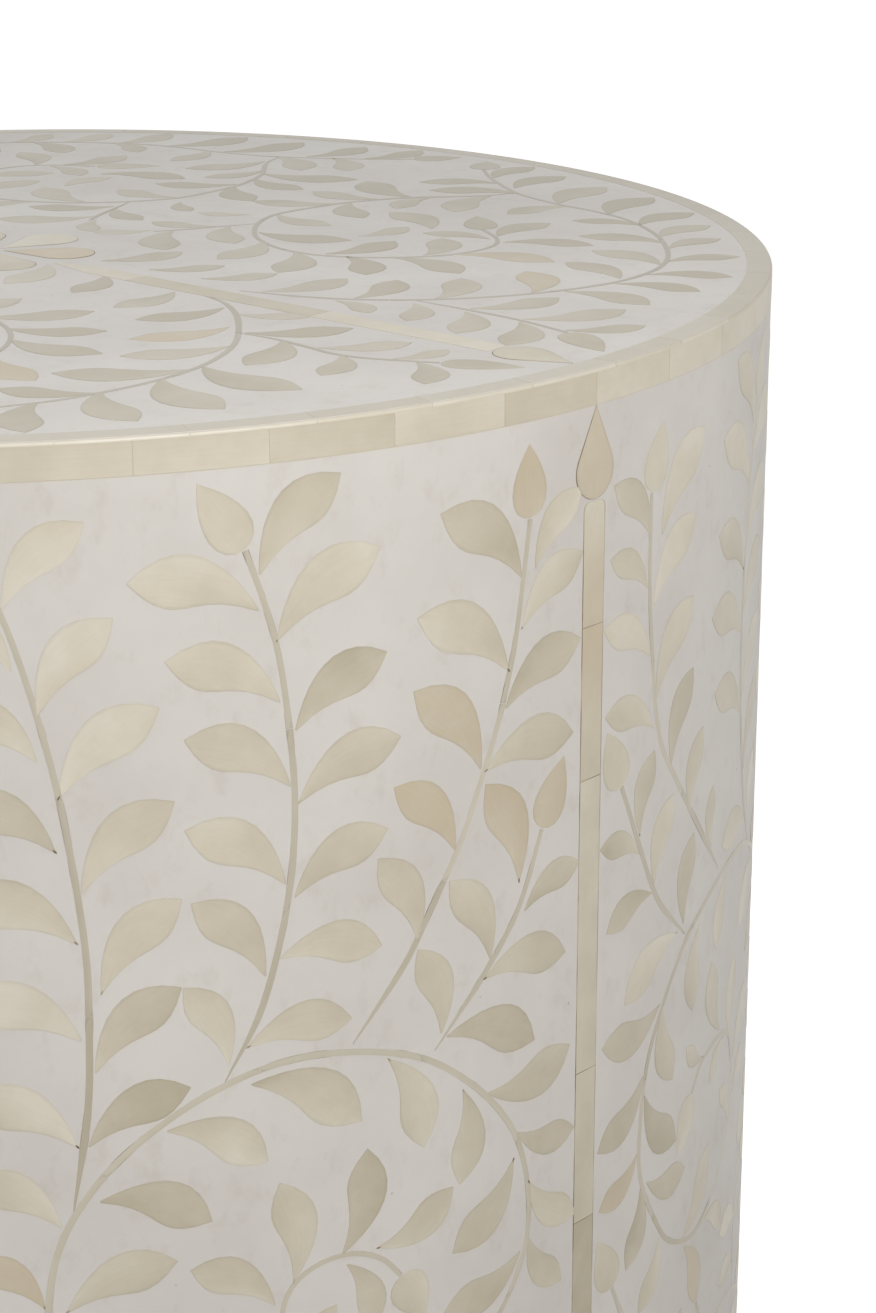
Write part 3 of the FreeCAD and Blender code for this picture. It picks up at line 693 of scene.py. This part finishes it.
def leaf(root, tip, side, plump=1.0):
    """Curved teardrop from root to tip. Along its chord one edge is a full cubic Bezier arc on the side the
    stem grows to, and the other is drawn in at the root and swells near the tip."""
    t = np.linspace(0, 1, 11)[:, None]
    weights = np.concatenate([(1 - t) ** 3, 3 * (1 - t) ** 2 * t, 3 * (1 - t) * t ** 2, t ** 3], 1)
    full = weights @ np.array([(0, .008), (.28, .28), (.72, .51), (1, .004)])
    drawn = weights @ np.array([(0, -.008), (.58, .07), (.52, -.30), (1, -.004)])
    chord = np.subtract(tip, root)
    across = side * np.array([-chord[1], chord[0]]) * plump
    edges = np.stack([full, (full + drawn) / 2, drawn], 1)
    grid = np.asarray(root) + edges[..., :1] * chord + edges[..., 1:] * across
    return grid if side > 0 else grid[:, ::-1]


def drop(root, tip, width):
    """Bud: its half width goes as the square root of the way from the root times what is left to the tip."""
    t = (1 - np.cos(np.linspace(0, math.pi, 11))) / 2
    half = width / 2 * 2.6 * np.sqrt(t) * (1 - t)
    half = np.maximum(half, 0.1 * MM)
    line = np.asarray(root) + t[:, None] * np.subtract(tip, root)
    return ribbon(line, half)


def teardrop(middle, aim, radius, reach):
    """Round end of this radius about middle, drawn out to a point at reach along aim by two tangents: up to
    where the tangents touch, the half width follows the circle, and beyond it falls evenly to the point."""
    touch = math.asin(radius / reach)
    round_part = -radius * np.cos(np.linspace(0, math.pi / 2 + touch, 9))
    along = np.concatenate([round_part, np.linspace(round_part[-1], reach, 6)[1:]])
    half = np.where(along <= round_part[-1] + 1e-9, np.sqrt(np.maximum(radius ** 2 - along ** 2, 0)),
                    (reach - along) * math.tan(touch))
    aim = np.asarray(aim, float) / np.linalg.norm(aim)
    return ribbon(np.asarray(middle) + along[:, None] * aim, np.maximum(half, 0.08 * MM))


def stem_strips(points, width, root):
    """Strips of a stem: a ribbon along its curve that grows to its full width from this share of it over its
    tapered root, narrows evenly by a quarter to its end, and is cut into strips of like length."""
    line = curve(points, STEM_STEP)
    t = np.linspace(0, 1, len(line))
    growth = np.minimum(1, root + STEM_STEP * np.arange(len(line)) / STEM_TAPER)
    whole = ribbon(line, width / 2 * growth * (1 - 0.25 * t))
    cuts = np.linspace(0, len(line) - 1, max(1, round(len(line) / STRIP_STEPS)) + 1).astype(int)
    strips = []
    for low, high in zip(cuts[:-1], cuts[1:]):
        strip = whole[low:high + 1].copy()
        if high < len(line) - 1:
            strip[-1] += 0.08 * (strip[-2] - strip[-1])
        strips.append(strip)
    return strips


def spray(pattern, upward, fall, width, bud_width, floor):
    """Strips, bud and leaves of one spray of a paper pattern in metres, each as (kind, grid, tone).

    upward is 1 or -1 as the pattern's second number counts up or down, and the spray is moved down by fall
    and kept above floor."""
    def scale(pairs):
        return (np.asarray(pairs, float) * (1, upward) - (0, fall)) * MM * RADIUS

    cut = []
    if pattern["stem"]:
        line = scale(pattern["stem"])
        kept = line[line[:, 1] > floor]
        if len(kept) > 2:
            strips = stem_strips(kept, width, pattern.get("root", 0.15))
            tones = [None] * len(strips)
            if "tones" in pattern:
                tones = np.linspace(*pattern["tones"], len(strips))
            cut += [("stem", strip, tone) for strip, tone in zip(strips, tones)]
    if pattern["bud"] and len(kept) == len(line):
        tip = scale([pattern["bud"][:2]])[0]
        root = line[-1] + 0.02 * (tip - line[-1])
        cut.append(("bud", drop(root, tip, bud_width), pattern["bud"][2]))
    for side, rows in ((1, pattern["right"]), (-1, pattern["left"])):
        for *ends, tone in rows:
            root, tip = scale([ends[:2], ends[2:]])
            if min(root[1], tip[1]) > floor + 3 * MM:
                cut.append(("leaf", leaf(root, tip, side), tone))
    return cut


def bead(grid):
    """Speck of glue at the root of a leaf: a short strip the way the leaf starts, widest in the middle."""
    root, along = grid[0, 1], grid[1, 1] - grid[0, 1]
    line = root + np.array([-0.6, 0.0, 0.7])[:, None] * MM * along / np.linalg.norm(along)
    return ribbon(line, np.array([0.1, 0.28, 0.08]) * MM)


def grown(grid, margin):
    """The piece with its edges moved out by a margin, away from its middle line."""
    reach = grid - grid[:, 1:2]
    return grid + margin * reach / np.maximum(np.linalg.norm(reach, axis=-1, keepdims=True), 0.01 * MM)


def inside(points, loop):
    """Whether each point lies in a closed loop: a level line from it crosses the loop an odd number of
    times."""
    x, y = points[:, :1], points[:, 1:]
    start, end = loop, np.roll(loop, -1, 0)
    spans = (start[:, 1] > y) != (end[:, 1] > y)
    rise = np.where(end[:, 1] == start[:, 1], 1, end[:, 1] - start[:, 1])
    crossing = start[:, 0] + (y - start[:, 1]) * (end[:, 0] - start[:, 0]) / rise
    return (spans & (x < crossing)).sum(1) % 2 == 1


def without_clashes(cut):
    """The pieces, stems first, without the leaves and buds that overlap a piece kept before, roots apart."""
    kept, loops = [], []
    for kind, grid, tone in sorted(cut, key=lambda piece: piece[0] != "stem"):
        free = grid if kind == "stem" else grid[len(grid) // 3:]
        loop = np.concatenate([free[:, 0], free[::-1, -1]])
        low, high = loop.min(0), loop.max(0)
        near = [other for other in loops if (other.min(0) < high).all() and (other.max(0) > low).all()]
        clash = any(inside(loop, other).any() or inside(other, loop).any() for other in near)
        if kind == "stem" or not clash:
            kept.append((kind, grid, tone))
            loops.append(np.concatenate([grid[:, 0], grid[::-1, -1]]))
    return kept


def half_panel(side):
    """Pieces of half a wall panel, flat, in metres across from its middle and up from the table top, and with
    the other sprays beside the rod where asked for."""
    s = sizes()
    floor = FOOT_BAND_TOP - HEIGHT + 5 * MM
    cut = []
    scroll, outer, bud = SCROLL, OUTER_SPRAY, BUD_SPRAY
    if side:
        scroll, outer, bud = SIDE_SCROLL, SIDE_SPRAY, SIDE_BUD
    for pattern in (scroll, outer, bud, TALL_SPRAY, MIDDLE_SPRAY):
        cut += spray(pattern, -1, 0, s.stem_width, s.bud_width, floor)
    for fall in (0, TIER_DROP):
        for pattern in (LINK, SHORT_SPRAY, TWIG):
            cut += spray(pattern, -1, fall, s.stem_width, s.bud_width, floor)
        for pattern in (scroll, bud):
            cut += spray(pattern, -1, fall + TIER_DROP, s.stem_width, s.bud_width, floor)
    return without_clashes(cut)


def quarter_top(near):
    """Pieces of a quarter of the table top, flat, in metres along one bar and square to it."""
    s = sizes()
    cosine, sine = math.cos(BAR_LEAN), math.sin(BAR_LEAN)
    turn = np.array([[cosine, -sine], [sine, cosine]])
    widths = s.stem_width * TOP_SHARE, s.bud_width * TOP_SHARE
    # The near quarter was laid a little off, square to the bar
    shift = np.array((-0.003, 0.023)) * RADIUS * near
    cut = []
    for pattern in [INNER_SCROLL, HEART_BRANCH] + ([] if near else [RIM_VINE, RIM_BRANCH, BAR_LEAVES]):
        pieces = spray(pattern, 1, 0, *widths, -RADIUS)
        cut += [(kind, grid @ turn + shift, tone) for kind, grid, tone in pieces]
    for pattern in [NEAR_VINE, NEAR_BRANCH] * near:
        cut += spray(pattern, 1, 0, *widths, -RADIUS)
    return without_clashes(cut)


def tones_for(cut, random, as_drawn):
    """Tone and share of tan of each piece, from 0 to 1: as drawn, or the same dealt out again, and by lot for
    stems with no tone."""
    drawn = np.array([tone if tone is not None else 0 for _, _, tone in cut], float)
    fixed = np.array([tone is not None for _, _, tone in cut])
    if not as_drawn:
        drawn[fixed] = random.permutation(drawn[fixed])
    drawn[~fixed] = random.uniform(1.5, 5.5, (~fixed).sum())
    tan = drawn == TAN
    shades = np.where(tan, TAN / 2, drawn) + random.uniform(-0.4, 0.4, len(drawn))
    return np.stack([np.clip(shades / TAN, 0, 1), tan * random.uniform(0.5, 0.85, len(drawn))], -1)


def strip_turns(count, gap, rows=7):
    """Turns of the stations of each strip of a ring, in radians: the first strip is centred on +X, and a gap
    is left between neighbours."""
    pitch = FULL_TURN / count
    half = (pitch - gap) / 2
    return stations(-half, half, rows, EDGE / RADIUS) + QUARTER + pitch * np.arange(count)[:, None]


def strips_round(count, gap, low, high, rows=7):
    """Grids (turn, height) of a ring of strips."""
    levels = stations(high, low, 3, -min(EDGE, (high - low) / 4))
    return [np.stack(np.meshgrid(turns, levels, indexing="ij"), -1)
            for turns in strip_turns(count, gap, rows)]


def flat_size(grid):
    """True size of a grid (turn, height) on the wall."""
    return grid * (RADIUS, 1)


class SIDETABLE_OT_boards(bpy.types.Operator):
    """Give the boards, battens, bent walls and pads inside and below the drum their finishes"""
    bl_idname = "sidetable.boards"
    bl_label = "Boards and pads"

    def execute(self, context):
        c = colours()
        ply = once("peeled_birch", wood_material, "peeled_birch", tuple(c.ply), 2)
        board = once("sawn_mango_board", wood_material, "sawn_mango_board", tuple(c.board), 0)
        post = once("planed_mango_batten", wood_material, "planed_mango_batten", tuple(c.batten), 2)
        felt = once("pressed_felt", felt_material)
        finishes = {"wall_half_": ply, "batten_": post, "top_panel": board, "base_panel": board,
                    "middle_hoop": board, "glides": felt}
        for name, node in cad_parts.items():
            for start, finish in finishes.items():
                if name.startswith(start):
                    for holder in node.material_slots:
                        holder.material = finish
        return {"FINISHED"}


class SIDETABLE_OT_ground(bpy.types.Operator):
    """Pour the resin round the wall and over the table top"""
    bl_idname = "sidetable.ground"
    bl_label = "Resin ground"

    def execute(self, context):
        s = sizes()
        finish = once("sanded_resin", resin_material)
        # Ring: a rectangle carried once round the drum
        turns = np.linspace(0, FULL_TURN, RING_STEPS, endpoint=False)
        outer, inner = RADIUS - s.resin_dip, RADIUS - s.ground_depth
        heights = np.linspace(BAND_LOW, FOOT_BAND_TOP, 9)
        section = np.array([(outer, z) for z in heights] + [(inner, z) for z in heights[::-1]])
        wall = new_piece("resin_wall", finish, carried_round(section, turns).reshape(-1, 3),
                         tube_faces(len(turns), len(section), True))
        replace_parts(wall, *(f"side_ground_{number}" for number in range(1, PANELS + 1)))
        # Disc: a square grid (u, v) bent to a circle, u times the root of 1 - v²/2 and v times the root of
        # 1 - u²/2
        u, v = np.meshgrid(np.linspace(-1, 1, 73), np.linspace(1, -1, 73), indexing="ij")
        reach = RADIUS - s.rim_width
        disc = reach * np.stack([u * np.sqrt(1 - v ** 2 / 2), v * np.sqrt(1 - u ** 2 / 2)], -1)
        face = HEIGHT - s.resin_dip
        section = np.concatenate([on_top(disc, face), on_top(disc[:, ::-1], HEIGHT - s.ground_depth)], 1)
        top = new_piece("resin_top", finish, section.reshape(-1, 3),
                        tube_faces(disc.shape[0], 2 * disc.shape[1], False))
        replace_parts(top, "top_ground")
        return {"FINISHED"}


class SIDETABLE_OT_rings(bpy.types.Operator):
    """Set the rim of the table top and the bone bands at the edge and the foot"""
    bl_idname = "sidetable.rings"
    bl_label = "Rim and bands"

    def execute(self, context):
        s = sizes()
        finish = once("sanded_bone", bone_material)
        dust = glue("bone_dust_glue")
        random = np.random.default_rng(11)
        gap = s.joint_gap / RADIUS
        joints = Tray(on_wall, RADIUS - FILLER_DIP, s.ground_depth - FILLER_DIP, 13)
        for name, low, high in (("edge_band", BAND_LOW, RIM_LOW), ("foot_band", FOOT, FOOT_BAND_TOP)):
            tray = Tray(on_wall, RADIUS, s.ground_depth, 12)
            for grid in strips_round(ARCS, 0, low + FILLER_DIP, high, ARC_ROWS):
                joints.place(flat_size(grid), grid, 0.5)
            for grid in strips_round(BAND_STRIPS, gap, low, high):
                tray.place(flat_size(grid), grid, float(random.uniform(0.15, 0.55)))
            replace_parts(tray.piece(f"{name}_strips", finish), name)
        # Rim: flat top, outer edge rounded by a quarter circle, carried round in strips
        bend = np.linspace(0, math.pi / 2, 6)
        inner = RADIUS - s.rim_width
        flat = np.array([(inner, HEIGHT), (inner + EDGE, HEIGHT)])
        arc = (RADIUS, HEIGHT) - s.rim_round * np.stack([1 - np.sin(bend), 1 - np.cos(bend)], -1)
        upper = np.concatenate([flat, arc, [(RADIUS, RIM_LOW)]])
        lower = np.stack([upper[:, 0], np.full(len(upper), RIM_LOW)], -1)[::-1]
        # The last two points of the outer edge are kept apart
        upper[-1, 1] = RIM_LOW + 0.01 * MM
        section = np.concatenate([upper, lower])
        across = np.concatenate([[0], np.cumsum(np.linalg.norm(np.diff(section, axis=0), axis=1))])
        # The flat face of the rim and the start of its round are painted greyer than the rest of each strip:
        # a painted reflection
        grey_and_reflection = np.where(section[:, 1] > HEIGHT - 0.2 * s.rim_round, 0.5, 0.0)
        parts, grains, inlays = [], [], []
        for turns in strip_turns(RIM_STRIPS, gap):
            rings = carried_round(section, turns)
            parts.append((rings.reshape(-1, 3), tube_faces(len(turns), len(section), False)))
            along = np.broadcast_to((turns * RADIUS)[:, None], rings.shape[:2])
            grains.append(np.stack([along, np.broadcast_to(across, along.shape)], -1).reshape(-1, 2) / MM)
            edge = np.ones(rings.shape[:2])
            edge[[0, -1]] = 0
            edge[:, 0] = 0
            tone, draw = random.uniform(0.0, 0.3), random.random()
            inlay = np.stack([np.full_like(edge, tone), np.full_like(edge, draw), edge,
                              np.broadcast_to(grey_and_reflection, edge.shape)], -1)
            inlays.append(inlay.reshape(-1, 4))
        joints.piece("band_joints", dust, "resin")
        # Filler between the strips of the rim: a flat ring just below their face
        turns = np.linspace(0, FULL_TURN, RING_STEPS, endpoint=False)
        low, high = RIM_LOW + FILLER_DIP, HEIGHT - RIM_DIP
        side, out = RADIUS - RIM_DIP, RADIUS - 0.55 * s.rim_round
        section = np.array([(inner, high), (out, high), (side, HEIGHT - s.rim_round), (side, low), (out, low),
                            (inner, low)])
        new_piece("rim_joints", once("sanded_resin", resin_material),
                  carried_round(section, turns).reshape(-1, 3), tube_faces(len(turns), len(section), True))
        points, faces = gather(parts)
        rim = new_piece("rim_strips", finish, points, faces, np.concatenate(grains),
                        np.concatenate(inlays))
        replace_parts(rim, "rim_pieces")
        return {"FINISHED"}


class SIDETABLE_OT_rods(bpy.types.Operator):
    """Set the upright rods, the bars of the table top, their finials and the petals at the middle"""
    bl_idname = "sidetable.rods"
    bl_label = "Rods, bars and rosette"

    def execute(self, context):
        s = sizes()
        finish = once("sanded_bone", bone_material)
        stain = glue("stained_glue")
        random = np.random.default_rng(21)
        # Glue stands a little proud of the resin, and below the bone
        line_dip = 0.4 * s.resin_dip
        lines_wall = Tray(on_wall, RADIUS - line_dip, s.inlay_depth, 22)
        lines_top = Tray(on_top, HEIGHT - line_dip, s.inlay_depth, 23)
        lines_band = Tray(on_wall, RADIUS - line_dip, s.inlay_depth, 29)
        # Rods: straight strips up the wall, butted at these heights
        rods, finials = (Tray(on_wall, RADIUS, s.inlay_depth, seed) for seed in (24, 25))
        joints = np.array([FOOT_BAND_TOP, *s.rod_joints, ROD_HEAD])
        for index in range(PANELS):
            turn = QUARTER / 2 + index * QUARTER
            for low, high, (foot, head, *tans) in zip(joints[:-1], joints[1:], ROD_TONES):
                rows = stations(low + s.joint_gap / 2, high - s.joint_gap / 2, 7, EDGE)
                half = np.full(len(rows), s.rod_width / 2)
                if high == ROD_HEAD:
                    # Head: its corners rounded by a flat quarter ellipse
                    bend = np.linspace(0, math.pi / 2, 5)
                    rows = np.concatenate([rows[:-2], high - 2.2 * MM * (1 - np.sin(bend))])
                    half = np.concatenate([half[:-2], s.rod_width / 2 * (0.5 + 0.5 * np.cos(bend))])
                shade = (np.interp(rows, (low, high), (foot, head)) + random.uniform(-0.4, 0.4)) / TAN
                tan = np.interp(rows, (low, high), tans)
                for tray, grow in ((rods, 0), (lines_wall, s.glue_line)):
                    grid = ribbon(np.stack([0 * rows, rows], -1), half + grow, EDGE)
                    tray.place(grid, grid / (RADIUS, 1) + (turn, 0), shade, tan)
                    rows = np.concatenate([[low], rows[1:-1], [high]])
            radius = s.finial_width / 2
            middle = (0, ROD_HEAD + s.finial_gap + radius)
            for tray, grow in ((finials, 0), (lines_wall, s.glue_line)):
                grid = teardrop(middle, (0, 1), radius + grow, s.finial_length - radius + 1.5 * grow)
                tray.place(grid, grid / (RADIUS, 1) + (turn, 0), random.uniform(0.4, 0.55), 0.5)
        for low, high in ((BAND_LOW - s.glue_line, BAND_LOW), (FOOT_BAND_TOP, FOOT_BAND_TOP + s.glue_line)):
            for grid in strips_round(ARCS, 0, low, high, ARC_ROWS):
                lines_band.place(flat_size(grid), grid, 0.5)
        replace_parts(rods.piece("rod_strips", finish), *(f"rod_{number}" for number in range(1, PANELS + 1)))
        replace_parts(finials.piece("rod_drops", finish), "rod_finials")
        # Bars: two strips in a line across the top, with a drop beyond each and six petals between
        bars, drops, petals = (Tray(on_top, HEIGHT, s.inlay_depth, seed) for seed in (26, 27, 28))
        joints = np.array([s.bar_start, *s.bar_joints, s.bar_end])
        for turn in (-QUARTER / 2, 1.5 * QUARTER):
            aim = np.array((math.cos(turn), math.sin(turn)))
            for low, high, tone in zip(joints[:-1], joints[1:], BAR_TONES):
                rows = stations(low + s.joint_gap / 2, high - s.joint_gap / 2, 7, EDGE)
                # Inner end drawn to a point over 18 mm
                half = s.rod_width / 2 * np.minimum(1, 0.15 + (rows - s.bar_start) / (18 * MM))
                grid = ribbon(rows[:, None] * aim, half, np.minimum(EDGE, 0.5 * half)[:, None])
                bars.place(grid, grid, (tone + random.uniform(-0.5, 0.5)) / TAN)
            radius = s.finial_width / 2
            middle = (s.bar_end + s.finial_gap + radius) * aim
            for tray, grow in ((drops, 0), (lines_top, s.glue_line)):
                grid = teardrop(middle, aim, radius + grow, s.finial_length - radius + 1.5 * grow)
                tray.place(grid, grid, 0.5)
        for index, tone in enumerate(PETAL_TONES):
            turn = -QUARTER / 2 + FULL_TURN * (index + 0.5) / len(PETAL_TONES)
            aim = np.array((math.cos(turn), math.sin(turn)))
            radius = s.petal_radius
            middle = (s.petal_reach - radius) * aim
            length_left = s.petal_reach - radius - s.petal_tip
            for tray, grow in ((petals, 0), (lines_top, s.glue_line)):
                grid = teardrop(middle, -aim, radius + grow, length_left + 1.5 * grow)
                tray.place(grid, grid, tone / TAN, float(index == 0))
        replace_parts(bars.piece("bar_strips", finish), "top_bar_1", "top_bar_2")
        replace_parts(drops.piece("bar_drops", finish), "bar_finials")
        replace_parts(petals.piece("petals", finish), "rosette_petals")
        lines_wall.piece("glue_lines_wall", stain, "resin")
        lines_top.piece("glue_lines_top", stain, "resin")
        lines_band.piece("glue_lines_band", glue("bone_dust_glue"), "resin")
        return {"FINISHED"}


class SIDETABLE_OT_wall_vine(bpy.types.Operator):
    """Inlay the vine on the wall: the half panel is cut eight times, every other time in mirror image"""
    bl_idname = "sidetable.wall_vine"
    bl_label = "Vine on the wall"

    def execute(self, context):
        s = sizes()
        finish = once("sanded_bone", bone_material)
        random = np.random.default_rng(31)
        halves = half_panel(False), half_panel(True)
        beads = Tray(on_wall, RADIUS - BEAD_DIP, s.inlay_depth, 32)
        seams = Tray(on_wall, RADIUS - SEAM_DIP, s.inlay_depth, 33)
        for panel in range(PANELS):
            stems = Tray(on_wall, RADIUS - VINE_DIP, s.inlay_depth, 40 + panel, 0.3)
            leaves = Tray(on_wall, RADIUS - VINE_DIP, s.inlay_depth, 40 + panel, 0.0, 0.18)
            for mirror in (1, -1):
                # The halves on both sides of the rod in front keep their tones
                seen = (panel, mirror) in ((0, 1), (1, -1))
                cut = halves[(panel, mirror) == (1, -1)]
                for (kind, grid, _), tones in zip(cut, tones_for(cut, random, seen)):
                    placed = [(stems if kind == "stem" else leaves, grid)]
                    if kind == "stem":
                        placed.append((seams, grown(grid, SEAM_WIDTH)))
                    elif kind == "leaf" and random.random() < BEADED_SHARE:
                        placed.append((beads, bead(grid)))
                    for tray, shape in placed:
                        laid = shape / (RADIUS, 1) * (mirror, 1) + (panel * QUARTER, HEIGHT)
                        tray.place(shape[:, ::mirror], laid[:, ::mirror], *tones)
            stems.piece(f"wall_stems_{panel + 1}", finish)
            leaves.piece(f"wall_leaves_{panel + 1}", finish)
        beads.piece("glue_beads_wall", glue("stained_glue"), "resin")
        seams.piece("glue_seams_wall", glue("sanded_glue"), "resin")
        return {"FINISHED"}


class SIDETABLE_OT_top_vine(bpy.types.Operator):
    """Inlay the vine on the table top: the quarter is cut four times, every other time in mirror image"""
    bl_idname = "sidetable.top_vine"
    bl_label = "Vine on the top"

    def execute(self, context):
        s = sizes()
        finish = once("sanded_bone", bone_material)
        random = np.random.default_rng(51)
        along = np.array((math.cos(-QUARTER / 2), math.sin(-QUARTER / 2)))
        aside = np.array((-along[1], along[0]))
        stems = Tray(on_top, HEIGHT - VINE_DIP, s.inlay_depth, 60, 0.8)
        leaves = Tray(on_top, HEIGHT - VINE_DIP, s.inlay_depth, 60, 0.32)
        for ahead in (1, -1):
            for beside in (1, -1):
                cut = quarter_top((ahead, beside) == (1, -1))
                darker = tones_for(cut, random, ahead == 1) + (0.2, 0)
                for (kind, grid, _), tones in zip(cut, darker):
                    laid = ahead * grid[..., :1] * along + beside * grid[..., 1:] * aside
                    if ahead * beside < 0:
                        grid, laid = grid[:, ::-1], laid[:, ::-1]
                    (stems if kind == "stem" else leaves).place(grid, laid, *tones)
        stems.piece("top_stems", finish)
        leaves.piece("top_leaves", finish)
        return {"FINISHED"}


class SIDETABLE_OT_stage(bpy.types.Operator):
    """Lay the studio floor, hang the lights and set the camera"""
    bl_idname = "sidetable.stage"
    bl_label = "Floor, lights and camera"

    def execute(self, context):
        scene = context.scene
        # Floor: a flat square, 16 m each way, just below the pads
        reach, low = 8, -0.1 * MM
        corners = [(-reach, -reach, low), (reach, -reach, low), (reach, reach, low), (-reach, reach, low)]
        mesh = bpy.data.meshes.new("studio_floor")
        mesh.from_pydata(corners, [], [(0, 1, 2, 3)])
        mesh.materials.append(once("painted_floor", floor_material))
        floor = bpy.data.objects.new("studio_floor", mesh)
        scene.collection.objects.link(floor)
        # Light: a white room, darker to the right and in front, one soft box in front and one overhead
        world = bpy.data.worlds.new("white_room")
        world.use_nodes = True
        tree = world.node_tree
        tree.nodes.clear()
        way = add(tree, "ShaderNodeTexCoord").outputs["Generated"]
        lean = add(tree, "ShaderNodeVectorMath", {0: way, 1: (-0.5, 0.35, 0)},
                   operation="DOT_PRODUCT").outputs["Value"]
        level = maths(tree, "MAXIMUM", maths(tree, "ADD", lean, 0.575), 0.2)
        wall = add(tree, "ShaderNodeBackground", {"Color": (1, 1, 1, 1), "Strength": level})
        add(tree, "ShaderNodeOutputWorld", {"Surface": wall.outputs[0]})
        scene.world = world
        boxes = (("front_box", (0.40, -0.92, 0.98), 0.6, 8.5, (1, 0.978, 0.952)),
                 ("top_box", (-0.45, -0.2, 1.5), 0.9, 1.1, (0.94, 0.97, 1)))
        for name, place, width, power, tint in boxes:
            light = bpy.data.lights.new(name, "AREA")
            light.shape = "SQUARE"
            light.size = width
            light.energy = power
            light.color = tint
            lamp = bpy.data.objects.new(name, light)
            lamp.location = place
            aim = Vector((0, 0, HEIGHT)) - Vector(place)
            lamp.rotation_euler = aim.to_track_quat("-Z", "Y").to_euler()
            scene.collection.objects.link(lamp)
        # Camera: on a circle about the table, a little to the right of the front and above the top
        away, height, swing = 0.9074, 0.6747, math.radians(4.82)
        tilt, turn = math.radians(71.60), math.radians(-3.37)
        camera = bpy.data.cameras.new("studio_camera")
        camera.sensor_width = 36
        camera.lens = 85.92
        camera.clip_start = 0.05
        camera.clip_end = 50
        view = bpy.data.objects.new("studio_camera", camera)
        view.location = (away * math.sin(swing), -away * math.cos(swing), height)
        view.rotation_euler = (tilt, 0, turn)
        scene.collection.objects.link(view)
        scene.camera = view
        scene.view_settings.view_transform = "Standard"
        return {"FINISHED"}


class SIDETABLE_PT_panel(bpy.types.Panel):
    """Sizes, colours and steps of the side table"""
    bl_idname = "SIDETABLE_PT_panel"
    bl_label = "Side table"
    bl_space_type = "VIEW_3D"
    bl_region_type = "UI"
    bl_category = "Side Table"

    def draw(self, context):
        for step in STEPS:
            self.layout.operator(step.bl_idname)
        for group in (sizes(), colours()):
            column = self.layout.column()
            for name in group.bl_rna.properties.keys():
                if name not in ("rna_type", "name"):
                    column.prop(group, name)


STEPS = (SIDETABLE_OT_boards, SIDETABLE_OT_ground, SIDETABLE_OT_rings, SIDETABLE_OT_rods,
         SIDETABLE_OT_wall_vine, SIDETABLE_OT_top_vine, SIDETABLE_OT_stage)
CLASSES = (SideTableSizes, SideTableColours, *STEPS, SIDETABLE_PT_panel)


def register():
    for made in CLASSES:
        bpy.utils.register_class(made)
    bpy.types.Scene.side_table_sizes = bpy.props.PointerProperty(type=SideTableSizes)
    bpy.types.Scene.side_table_colours = bpy.props.PointerProperty(type=SideTableColours)


def unregister():
    del bpy.types.Scene.side_table_colours
    del bpy.types.Scene.side_table_sizes
    for made in reversed(CLASSES):
        bpy.utils.unregister_class(made)


def main():
    register()
    for step in STEPS:
        group, name = step.bl_idname.split(".")
        getattr(getattr(bpy.ops, group), name)()


if __name__ == "__main__":
    main()
